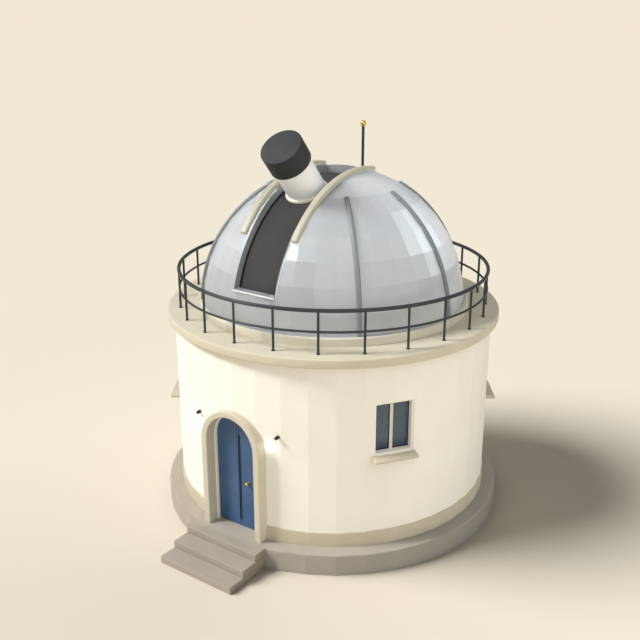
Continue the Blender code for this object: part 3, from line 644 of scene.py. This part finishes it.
def soften(item, width, segments=2):
    """Rounds the sharp edges of a finished piece."""
    modifier = item.modifiers.new("Bevel", "BEVEL")
    modifier.width = width
    modifier.segments = segments
    modifier.limit_method = "ANGLE"
    modifier.angle_limit = math.radians(50)
    modifier.harden_normals = True


def place_piece(item, body, slot, *nodes):
    """Has the piece ride a body in place of these nodes, which are hidden. The slot is not used."""
    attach(item, body)
    if nodes:
        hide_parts(*nodes)


def rectangle_ring(builder, outer, inner, front, back):
    """A frame in the x-z plane. Its outer and inner edges are given as left, low, right, high."""
    rings = []
    for y in (-front, -back):
        for left, low, right, high in (outer, inner):
            corners = ((left, low), (right, low), (right, high), (left, high))
            rings.append([builder.verts.new((x, y, z)) for x, z in corners])
    front_outer, front_inner, back_outer, back_inner = rings
    pairs = [(front_outer, front_inner), (front_inner, back_inner)]
    pairs += [(back_inner, back_outer), (back_outer, front_outer)]
    for first, second in pairs:
        bridge(builder, first, second)


def make_windows():
    """Four windows: a frame, a mullion, and two panes in their gaskets."""
    half = WINDOW_HALF_WIDTH
    inner = half - WINDOW_BORDER
    low = WINDOW_LOW + WINDOW_BORDER
    high = WINDOW_HIGH - WINDOW_BORDER
    for name, azimuth in WINDOWS.items():
        node = f"window_{name}"
        place = turned(azimuth)
        builder = bmesh.new()
        outer_frame = (-half, WINDOW_LOW, half, WINDOW_HIGH)
        rectangle_ring(builder, outer_frame, (-inner, low, inner, high), WINDOW_FRONT, WINDOW_BACK)
        surround = finish_mesh(f"{node}_frame", builder, "window_frame", place)
        soften(surround, WOOD_EDGE)
        place_piece(surround, "building", "window_wood", node)
        # The mullion takes the darker paint, painted shade for its recess.
        builder = bmesh.new()
        start = (-MULLION_HALF_WIDTH, -MULLION_FRONT, low - REBATE)
        add_box(builder, start, (MULLION_HALF_WIDTH, -WINDOW_BACK, high + REBATE))
        mullion = finish_mesh(f"{node}_mullion", builder, "mullion", place)
        soften(mullion, WOOD_EDGE)
        place_piece(mullion, "building", "window_wood", node)
        # The gaskets round the panes are near black, painted shade along the edges of the glass.
        gaskets = bmesh.new()
        panes = bmesh.new()
        for side in (-1, 1):
            left, right = sorted((side * MULLION_HALF_WIDTH, side * inner))
            opening = (left, low, right, high)
            glazed = (left + GASKET, low + GASKET, right - GASKET, high - GASKET)
            front, back = PANE_FRONT + GASKET_PROUD, PANE_FRONT - PANE_THICKNESS
            rectangle_ring(gaskets, opening, glazed, front, back)
            start = (left + REBATE, -PANE_FRONT, low + REBATE)
            end = (right - REBATE, -PANE_FRONT + PANE_THICKNESS, high - REBATE)
            add_box(panes, start, end)
        gasket = finish_mesh(f"{node}_gaskets", gaskets, "strip", place)
        soften(gasket, GASKET_EDGE, 1)
        place_piece(gasket, "building", "window_wood", node)
        pane = finish_mesh(f"{node}_panes", panes, "glass", place)
        place_piece(pane, "building", "window_wood", node)


def wall_face_y(x):
    """The y of a lamp's back, just off the wall's flat facet, at this x beside the door."""
    start, end = polar(WALL_RADIUS, FACET), polar(WALL_RADIUS, 2 * FACET)
    share = (abs(x) - start[0]) / (end[0] - start[0])
    return start[1] + share * (end[1] - start[1]) - LAMP_STANDOFF


def make_lamps():
    """A square housing on edge at each side of the door, with a lens towards the doorway."""
    for name, side in SIDES:
        x, _ = polar(WALL_RADIUS + LAMP_OUT, side * LAMP_AZIMUTH)
        builder = bmesh.new()
        front = []
        back = []
        for k in range(4):
            across, up = polar(LAMP_HALF, 90 * k)
            edge, height = x + across, LAMP_Z + up
            front.append(builder.verts.new((edge, -LAMP_FRONT, height)))
            back.append(builder.verts.new((edge, wall_face_y(edge), height)))
        close_block(builder, front, back)
        housing = finish_mesh(f"lamp_housing_{name}", builder, "lamp")
        soften(housing, LAMP_EDGE)
        place_piece(housing, "building", "lamp_metal", f"wall_lamp_{name}")
        builder = bmesh.new()
        profile = [(0, -LENS_EDGE), (LENS_RADIUS, -LENS_EDGE)]
        profile += [(LENS_RADIUS, LENS_EDGE), (0, LENS_CROWN)]
        middle = LAMP_HALF / 2
        spot = Matrix.Translation((x - middle, -LAMP_FRONT + LENS_BACK, LAMP_Z - middle))
        add_lathe(builder, profile, 24, spot @ Matrix.Rotation(math.radians(-135), 4, "Y"))
        lens = finish_mesh(f"lamp_lens_{name}", builder, "lens")
        place_piece(lens, "building", "lamp_metal", f"wall_lamp_{name}")


def add_arc_tube(builder, radius, height, tube, start, end, step=2.5, sides=12):
    """A level tube bent round the z axis between two azimuths."""
    count = round((end - start) / step)
    rings = []
    for k in range(count + 1):
        azimuth = start + (end - start) * k / count
        ring = []
        for j in range(sides):
            angle = 2 * math.pi * (j + 0.5) / sides
            x, y = polar(radius + tube * math.cos(angle), azimuth)
            ring.append(builder.verts.new((x, y, height + tube * math.sin(angle))))
        rings.append(ring)
    close_bar(builder, rings)


def make_railing():
    """Six panels of two rails on posts. Each post stands on a small round flange."""
    span = 360 / PANELS
    for panel in range(PANELS):
        builder = bmesh.new()
        start = panel * span - POST_STEP / 2 + PANEL_GAP / 2
        end = start + span - PANEL_GAP
        add_arc_tube(builder, RAIL_RADIUS, RAIL_Z, RAIL_TUBE, start, end)
        add_arc_tube(builder, RAIL_RADIUS, MID_RAIL_Z, MID_RAIL_TUBE, start, end)
        for k in range(round(span / POST_STEP)):
            azimuth = panel * span + k * POST_STEP
            x, y = polar(RAIL_RADIUS, azimuth)
            place = Matrix.Translation((x, y, DECK)) @ turned(azimuth)
            top = RAIL_Z - DECK
            profile = [(0, 0), (FLANGE_RADIUS, 0)]
            profile += rounded(FLANGE_RADIUS, FLANGE_HEIGHT, FLANGE_EDGE, steps=2)
            profile.append((POST_TUBE + WELD_BEAD, FLANGE_HEIGHT))
            profile.append((POST_TUBE, FLANGE_HEIGHT + WELD_BEAD_HEIGHT))
            profile += [(POST_TUBE, top), (0, top)]
            add_lathe(builder, profile, 16, place)
        name = f"railing_{panel + 1}"
        item = finish_mesh(name, builder, "railing", angle=40)
        place_piece(item, "building", "dark_metal", f"railing_panel_{panel + 1}")


def make_gallery():
    """The deck slab and the curb under the dome, as smooth rings with rounded edges."""
    builder = bmesh.new()
    under = [(r, SLAB_LOW + SLAB_HIGH - z) for r, z in rounded(SLAB_OUTER, SLAB_HIGH, SLAB_EDGE)]
    profile = [(SLAB_INNER, SLAB_LOW), *under[::-1], *rounded(SLAB_OUTER, SLAB_HIGH, SLAB_EDGE)]
    profile += [(SLAB_INNER, SLAB_HIGH), (SLAB_INNER, SLAB_LOW)]
    add_ring(builder, profile, RING_STEPS)
    slab = finish_mesh("slab", builder, "trim")
    place_piece(slab, "building", "trim", "gallery_slab")
    builder = bmesh.new()
    low = SLAB_HIGH + CURB_GAP
    profile = [(CURB_INNER, low), (CURB_OUTER, low), *rounded(CURB_OUTER, CURB_HIGH, CURB_EDGE)]
    profile += [(CURB_INNER, CURB_HIGH), (CURB_INNER, low)]
    add_ring(builder, profile, RING_STEPS)
    # The curb takes the lighter copy of the trim, painted light against the dome's shade.
    curb = finish_mesh("curb", builder, "curb")
    place_piece(curb, "building", "trim", "dome_curb")


def bow_section(half_width, low, top, corner, inset):
    """The section of a bar on the dome, as (across, radius) points, shrunk by the inset."""
    half = max(half_width - inset, THINNEST)
    high = max(top - inset, low + 2 * THINNEST)
    bend = max(min(corner, half, high - low) - THINNEST / 2, THINNEST / 2)
    right = [(half, low)]
    for k in range(7):
        angle = math.radians(15 * k)
        right.append((half - bend + bend * math.cos(angle), high - bend + bend * math.sin(angle)))
    return right + [(-x, radius) for x, radius in right[::-1]]


def add_bow(builder, shape, start, end, tips, place):
    """A bar bent over the dome between two elevations. Each tip is the radius of an end."""
    half_width, low, top, corner = shape
    stations = []
    for side, limit, tip in ((1, start, tips[0]), (-1, end, tips[1])):
        if tip == 0:
            stations.append((limit, 0))
            continue
        for k in range(6):
            angle = math.radians(18 * k)
            along = math.degrees(tip * (1 - math.sin(angle)) / top)
            stations.append((limit + side * along, tip * (1 - math.cos(angle))))
    reach = [math.degrees(tip / top) for tip in tips]
    for k in range(1, BOW_STEPS):
        share = k / BOW_STEPS
        stations.append((start + reach[0] + (end - start - sum(reach)) * share, 0))
    rings = []
    for elevation, inset in sorted(stations):
        angle = math.radians(elevation)
        ring = []
        for x, radius in bow_section(half_width, low, top, corner, inset):
            height = DOME_CENTRE + radius * math.sin(angle)
            ring.append(builder.verts.new(place @ Vector((x, -radius * math.cos(angle), height))))
        rings.append(ring)
    close_bar(builder, rings)


def add_pipe(builder, points, radius, sides=8):
    """A thin bead along points that lie in a plane square to X."""
    rings = []
    across = Vector((1, 0, 0))
    for k, point in enumerate(points):
        before, after = points[max(k - 1, 0)], points[min(k + 1, len(points) - 1)]
        outward = (after - before).cross(across).normalized()
        ring = []
        for j in range(sides):
            angle = 2 * math.pi * j / sides
            shift = across * math.cos(angle) + outward * math.sin(angle)
            ring.append(builder.verts.new(point + shift * radius))
        rings.append(ring)
    close_bar(builder, rings)


def slit_edge(side):
    """Points of the shells' cut edge beside the slit, from its sill to its head."""
    name = "right" if side > 0 else "left"
    found = {}
    for shell in (NODES[f"shell_front_{name}"], NODES[f"shell_rear_{name}"]):
        for vertex in shell.data.vertices:
            point = shell.matrix_world @ vertex.co
            away = (point - Vector((0, 0, DOME_CENTRE))).length
            if abs(point.x - side * SLIT_EDGE_X) < EDGE_TOLERANCE and away > OUTER_SKIN:
                elevation = math.degrees(math.atan2(point.z - DOME_CENTRE, -point.y))
                found[round(elevation, 1)] = point
    return [found[elevation] for elevation in sorted(found)]


def make_dome_fittings():
    """The ring, the ribs, the shutter rails, the screen's seals and the lips round the slit."""
    builder = bmesh.new()
    profile = [(RING_INNER, RING_LOW), (RING_OUTER, RING_LOW), (RING_OUTER, RING_HIGH)]
    profile += [(UPSTAND_OUTER, RING_HIGH), (UPSTAND_OUTER, UPSTAND_TOP)]
    profile += [(RING_INNER, UPSTAND_TOP), (RING_INNER, RING_LOW)]
    add_ring(builder, profile, RING_STEPS)
    ring = finish_mesh("dome_ring", builder, "dome")
    place_piece(ring, "dome", "rib_metal", "dome_frame")
    builder = bmesh.new()
    shape = (RIB_HALF_WIDTH, RIB_LOW, RIB_TOP, BAR_CORNER)
    for azimuth in RIB_AZIMUTHS:
        add_bow(builder, shape, RIB_START, RIB_END, (0, RIB_HALF_WIDTH), turned(azimuth))
    ribs = finish_mesh("dome_ribs", builder, "rib")
    place_piece(ribs, "dome", "rib_metal", "dome_frame")
    shape = (SHUTTER_RAIL_HALF_WIDTH, SHUTTER_RAIL_LOW, SHUTTER_RAIL_TOP, BAR_CORNER)
    tips = (SHUTTER_RAIL_TIP, SHUTTER_RAIL_TIP)
    for name, side in SIDES:
        builder = bmesh.new()
        place = Matrix.Translation((side * SHUTTER_RAIL_X, 0, 0))
        add_bow(builder, shape, SHUTTER_RAIL_START, SHUTTER_RAIL_END, tips, place)
        rail = finish_mesh(f"rail_{name}", builder, "rail")
        place_piece(rail, "dome", "cream_metal", f"shutter_rail_{name}")
    # The seals are near-black strips, a painted shadow along the join between the slit's cheeks and
    # the screen.
    low = SCREEN_RADIUS + SEAL_GAP
    shape = (SEAL_HALF_WIDTH, low, low + SEAL_HEIGHT, SEAL_CORNER)
    for name, side in SIDES:
        builder = bmesh.new()
        place = Matrix.Translation((side * (CHEEK_FACE_X - SEAL_HALF_WIDTH), 0, 0))
        add_bow(builder, shape, SEAL_START, SEAL_END, (0, 0), place)
        seal = finish_mesh(f"screen_seal_{name}", builder, "seal")
        place_piece(seal, "dome", "dark_metal")
    # The lips are near-white beads, a painted highlight along the shells' cut edges beside the slit
    # and along its sill.
    for name, side in SIDES:
        builder = bmesh.new()
        add_pipe(builder, slit_edge(side), LIP_RADIUS)
        lip = finish_mesh(f"slit_lip_{name}", builder, "lip")
        place_piece(lip, "dome", "rib_metal")
    builder = bmesh.new()
    circle = [polar(SILL_LIP_RADIUS, 30 * k) for k in range(12)]
    centre = (0, -SLIT_SILL_FRONT + SILL_LIP_INSET, SLIT_SILL - SILL_LIP_INSET)
    along = Matrix.Translation(centre) @ Matrix.Rotation(math.radians(90), 4, "Y")
    add_prism(builder, circle, -SLIT_EDGE_X, SLIT_EDGE_X, along)
    lip = finish_mesh("slit_sill_lip", builder, "lip")
    place_piece(lip, "dome", "rib_metal")


def oval(half_width, half_length, squareness, steps=72):
    """Points (across, along) of an ellipse, or of a squarer oval where squareness passes 2."""
    points = []
    for k in range(steps):
        cosine = math.cos(2 * math.pi * k / steps)
        sine = math.sin(2 * math.pi * k / steps)
        across = half_width * math.copysign(abs(cosine) ** (2 / squareness), cosine)
        along = half_length * math.copysign(abs(sine) ** (2 / squareness), sine)
        points.append((across, along))
    return points


def add_flap(builder):
    """The cloth flap that fills the screen's hole round the tube, bent like the screen."""
    half_width = SCREEN_HOLE_HALF_WIDTH - FLAP_SIDE_GAP
    half_angle = SCREEN_HOLE_HALF_ANGLE - (FLAP_FRONT_GAP + FLAP_REAR_GAP) / 2
    middle = SCREEN_HOLE_MIDDLE - (FLAP_REAR_GAP - FLAP_FRONT_GAP) / 2
    outer = [(x, middle + e) for x, e in oval(half_width, half_angle, SCREEN_HOLE_SQUARENESS)]
    inner = oval(FLAP_INNER_HALF_WIDTH, FLAP_INNER_HALF_ANGLE, 2)
    inner = [(x, FLAP_INNER_MIDDLE + e) for x, e in inner]
    top = SCREEN_RADIUS - FLAP_DROP
    low = top - FLAP_THICKNESS
    rings = []
    for outline, radius in ((outer, top), (outer, low), (inner, low), (inner, top)):
        ring = []
        for x, elevation in outline:
            angle = math.radians(elevation)
            height = DOME_CENTRE + radius * math.sin(angle)
            ring.append(builder.verts.new((x, -radius * math.cos(angle), height)))
        rings.append(ring)
    for first, second in zip(rings, rings[1:] + rings[:1]):
        bridge(builder, first, second)


def make_tube(along):
    """The tube, open at the front, with the trunnions that it tips on."""
    builder = bmesh.new()
    profile = [(0, MIRROR_FACE), (TUBE_BORE, MIRROR_FACE), (TUBE_BORE, TUBE_FRONT)]
    profile += [(TUBE_RADIUS, TUBE_FRONT), (TUBE_RADIUS, TUBE_REAR + TUBE_EDGE)]
    profile += [(TUBE_RADIUS - TUBE_EDGE, TUBE_REAR), (0, TUBE_REAR)]
    add_lathe(builder, profile, TUBE_STEPS, along)
    for side in (-1, 1):
        across = Matrix.Rotation(math.radians(90 * side), 4, "Y")
        profile = [(TRUNNION_RADIUS, TRUNNION_START)]
        profile += rounded(TRUNNION_RADIUS, TRUNNION_END, TRUNNION_EDGE)
        profile.append((0, TRUNNION_END))
        add_lathe(builder, profile, TRUNNION_STEPS, along @ across)
    tube = finish_mesh("tube", builder, "tube")
    place_piece(tube, "telescope", "white_paint", "telescope_tube")


def make_collar(along):
    """The slanting ring round the tube, and the cloth neck and flap under it."""
    centre = along @ Vector((0, 0, COLLAR_ALONG))
    lean = Matrix.Translation(centre) @ Matrix.Rotation(math.radians(90 - COLLAR_LEAN), 4, "X")
    lean = lean @ Matrix.Translation((0, -COLLAR_SHIFT, 0))
    lean = lean @ Matrix.Diagonal((1, COLLAR_STRETCH, 1, 1))
    builder = bmesh.new()
    middle = COLLAR_HIGH + COLLAR_LOW
    top = rounded(COLLAR_RADIUS, COLLAR_HIGH, COLLAR_EDGE)
    profile = [(COLLAR_INNER, COLLAR_LOW), *((r, middle - z) for r, z in top[::-1]), *top]
    profile += [(COLLAR_INNER, COLLAR_HIGH), (COLLAR_INNER, COLLAR_LOW)]
    add_ring(builder, profile, TUBE_STEPS, lean)
    collar = finish_mesh("tube_collar", builder, "collar")
    place_piece(collar, "telescope", "white_paint", "telescope_tube")
    builder = bmesh.new()
    profile = [(COLLAR_INNER, NECK_LOW), (NECK_RADIUS, NECK_LOW), (NECK_RADIUS, COLLAR_LOW)]
    profile += [(COLLAR_INNER, COLLAR_LOW), (COLLAR_INNER, NECK_LOW)]
    add_ring(builder, profile, TUBE_STEPS, lean)
    add_flap(builder)
    flap = finish_mesh("tube_flap", builder, "canvas")
    place_piece(flap, "telescope", "dark_canvas")


def make_cap(along):
    """The dark cap over the front of the tube."""
    builder = bmesh.new()
    bore = TUBE_RADIUS + CAP_FIT
    seat = TUBE_FRONT + CAP_SEAT
    profile = [(bore, CAP_REAR), (CAP_RADIUS - CAP_REAR_EDGE, CAP_REAR)]
    profile.append((CAP_RADIUS, CAP_REAR + CAP_REAR_EDGE))
    profile += rounded(CAP_RADIUS, CAP_FRONT, CAP_EDGE, steps=5)
    profile += [(0, CAP_FRONT), (0, CAP_FRONT - CAP_EDGE), (TUBE_BORE, CAP_FRONT - CAP_EDGE)]
    profile += [(TUBE_BORE, seat), (bore, seat), (bore, CAP_REAR)]
    add_ring(builder, profile, CAP_STEPS, along)
    cap = finish_mesh("cap", builder, "cap")
    place_piece(cap, "telescope", "cap_plastic", "telescope_cap")


def make_telescope():
    tip = Matrix.Rotation(math.radians(90 - ALTITUDE), 4, "X")
    along = Matrix.Translation((0, 0, PIVOT_Z)) @ tip
    make_tube(along)
    make_collar(along)
    make_cap(along)


def make_rod():
    """The lightning rod on its foot, with a brass ball at the tip."""
    foot = DOME_CENTRE + math.sqrt(DOME_RADIUS**2 - ROD_Y**2)
    place = Matrix.Translation((0, ROD_Y, 0))
    builder = bmesh.new()
    profile = [(radius, foot + height) for radius, height in ROD_FOOT]
    profile += [(ROD_RADIUS, ROD_TOP), (0, ROD_TOP)]
    add_lathe(builder, profile, SMALL_STEPS, place)
    rod = finish_mesh("rod", builder, "railing")
    place_piece(rod, "dome", "dark_metal", "lightning_rod")
    builder = bmesh.new()
    profile = [(0, BALL_Z - BALL_RADIUS)]
    for k in range(1, 12):
        angle = math.radians(-90 + 15 * k)
        profile.append((BALL_RADIUS * math.cos(angle), BALL_Z + BALL_RADIUS * math.sin(angle)))
    profile.append((0, BALL_Z + BALL_RADIUS))
    add_lathe(builder, profile, SMALL_STEPS, place)
    ball = finish_mesh("rod_ball", builder, "brass")
    place_piece(ball, "dome", "brass", "lightning_rod")


def make_knob():
    """The round door knob on its flat rose."""
    outward = Matrix.Rotation(math.radians(90), 4, "X")
    place = Matrix.Translation((KNOB_X, -LEAF_FACE, KNOB_Z)) @ outward
    builder = bmesh.new()
    profile = list(KNOB_ROSE)
    for k in range(13):
        angle = math.radians(-60 + 150 * k / 13)
        profile.append((KNOB_RADIUS * math.cos(angle), KNOB_CENTRE + KNOB_RADIUS * math.sin(angle)))
    profile.append((0, KNOB_CENTRE + KNOB_RADIUS))
    add_lathe(builder, profile, SMALL_STEPS, place)
    knob = finish_mesh("knob", builder, "brass", angle=40)
    place_piece(knob, "door_right", "brass", "door_knob")


def make_stage():
    """The pale floor, with a painted shadow that darkens it in front of the door."""
    builder = bmesh.new()
    reach = FLOOR_REACH
    corners = ((-reach, -reach), (reach, -reach), (reach, reach), (-reach, reach))
    builder.faces.new([builder.verts.new((x, y, FLOOR_Z)) for x, y in corners])
    surface = Surface("studio_floor", 1.0, specular=0.0)
    clouds = surface.noise(0.15, 2)
    tone = surface.mixed(clouds, *(linear(*colour) for colour in FLOOR_COLOURS))
    # Painted shadow: the floor's colour is scaled down near the place in front of the door.
    away = surface.node("ShaderNodeVectorMath", operation="DISTANCE")
    surface.link(surface.place, away.inputs[0])
    away.inputs[1].default_value = (*PAINTED_SHADE_PLACE, 0)
    share = surface.node("ShaderNodeMapRange", interpolation_type="SMOOTHSTEP")
    surface.link(away.outputs["Value"], share.inputs["Value"])
    share.inputs["From Max"].default_value = PAINTED_SHADE_REACH
    share.inputs["To Min"].default_value = FLOOR_PAINTED_SHADE
    scaled = surface.node("ShaderNodeVectorMath", operation="SCALE")
    surface.link(tone, scaled.inputs[0])
    surface.link(share.outputs["Result"], scaled.inputs["Scale"])
    surface.colour(scaled.outputs["Vector"])
    MATERIALS["floor"] = surface.material
    floor = finish_mesh("floor", builder, "floor")
    return floor


def add_sun(name, azimuth, elevation, strength, spread, colour):
    light = bpy.data.lights.new(name, "SUN")
    light.energy = strength
    light.angle = math.radians(spread)
    light.color = colour
    item = bpy.data.objects.new(name, light)
    x, y = polar(math.cos(math.radians(elevation)), azimuth)
    towards = Vector((x, y, math.sin(math.radians(elevation))))
    item.rotation_euler = towards.to_track_quat("Z", "Y").to_euler()
    item.location = towards * SUN_DISTANCE
    bpy.context.scene.collection.objects.link(item)
    return item


def add_point(name, place, energy, size):
    light = bpy.data.lights.new(name, "POINT")
    light.energy = energy
    light.shadow_soft_size = size
    item = bpy.data.objects.new(name, light)
    item.location = place
    bpy.context.scene.collection.objects.link(item)
    return item


def named(starts, ends=""):
    """The objects whose names start, and end, in one of these ways."""
    found = [item for item in bpy.data.objects if item.name.startswith(starts)]
    return [item for item in found if item.name.endswith(ends)]


def linked(name, items, state):
    """A collection of items for light linking, all with the same state."""
    chosen = bpy.data.collections.new(name)
    for item in items:
        chosen.objects.link(item)
    for member in chosen.collection_objects:
        member.light_linking.link_state = state
    return chosen


def choose_lit(light, items, state):
    """Has the light reach only these items, or with the state EXCLUDE all the others."""
    light.light_linking.receiver_collection = linked(f"{light.name}_receivers", items, state)


def spare_shadow(light, items):
    """Has these items cast no shadow in the light."""
    light.light_linking.blocker_collection = linked(f"{light.name}_blockers", items, "EXCLUDE")


def light_scene(floor):
    world = bpy.data.worlds.new("studio")
    bpy.context.scene.world = world
    world.use_nodes = True
    nodes, links = world.node_tree.nodes, world.node_tree.links
    seen = nodes["Background"]
    seen.inputs["Color"].default_value = linear(*BACKDROP)
    around = nodes.new("ShaderNodeBackground")
    around.inputs["Color"].default_value = (AMBIENT, AMBIENT, AMBIENT, 1)
    path = nodes.new("ShaderNodeLightPath")
    mix = nodes.new("ShaderNodeMixShader")
    links.new(path.outputs["Is Camera Ray"], mix.inputs["Fac"])
    links.new(around.outputs["Background"], mix.inputs[1])
    links.new(seen.outputs["Background"], mix.inputs[2])
    links.new(mix.outputs["Shader"], nodes["World Output"].inputs["Surface"])
    rails = named(SHUTTER_RAILS)
    key = add_sun("key", **KEY)
    choose_lit(key, [floor, *named(UNKEYED), *rails], "EXCLUDE")
    spare_shadow(key, rails)
    choose_lit(add_sun("floor_key", **FLOOR_KEY), [floor], "INCLUDE")
    choose_lit(add_sun("fill", **FILL), [floor, *named(UNFILLED)], "EXCLUDE")
    choose_lit(add_sun("low_fill", **LOW_FILL), named(LOW_FILLED), "INCLUDE")
    woodwork = named("window_", ("_frame", "_mullion"))
    choose_lit(add_sun("jamb_fill", **JAMB_FILL), woodwork, "INCLUDE")
    choose_lit(add_sun("door_fill", **DOOR_FILL), named("door_frame"), "INCLUDE")
    rail_key = add_sun("rail_key", **RAIL_KEY)
    rail_key.data.use_shadow = False
    choose_lit(rail_key, rails, "INCLUDE")
    choose_lit(add_sun("head_fill", **HEAD_FILL), named("slit_coaming"), "INCLUDE")
    choose_lit(add_sun("lip_light", **LIP_LIGHT), named("slit_lip_left"), "INCLUDE")
    for number, gloss in enumerate(GLOSSES):
        light = add_sun(f"dome_gloss_{number}", **gloss)
        light.data.use_shadow = False
        choose_lit(light, named("shell_"), "INCLUDE")
    add_point("inside_light", INSIDE_PLACE, INSIDE_ENERGY, INSIDE_SIZE)
    for name, side in SIDES:
        x, y = polar(WALL_RADIUS + GLOW_OUT, side * LAMP_AZIMUTH)
        place = (x - GLOW_SHIFT, y, LAMP_Z - GLOW_DROP)
        glow = add_point(f"lamp_glow_{name}", place, GLOW_ENERGY, GLOW_SIZE)
        choose_lit(glow, named("wall_"), "INCLUDE")


def add_camera():
    camera = bpy.data.cameras.new("camera")
    camera.lens = CAMERA_LENS
    camera.sensor_width = CAMERA_SENSOR
    camera.clip_end = CAMERA_REACH
    item = bpy.data.objects.new("camera", camera)
    item.location = CAMERA_PLACE
    item.rotation_euler = (math.radians(CAMERA_TILT), 0, math.radians(CAMERA_TURN))
    bpy.context.scene.collection.objects.link(item)
    bpy.context.scene.camera = item
    bpy.context.scene.view_settings.view_transform = "Standard"


dress_nodes()
make_windows()
make_lamps()
make_gallery()
make_railing()
make_dome_fittings()
make_telescope()
make_rod()
make_knob()
light_scene(make_stage())
add_camera()
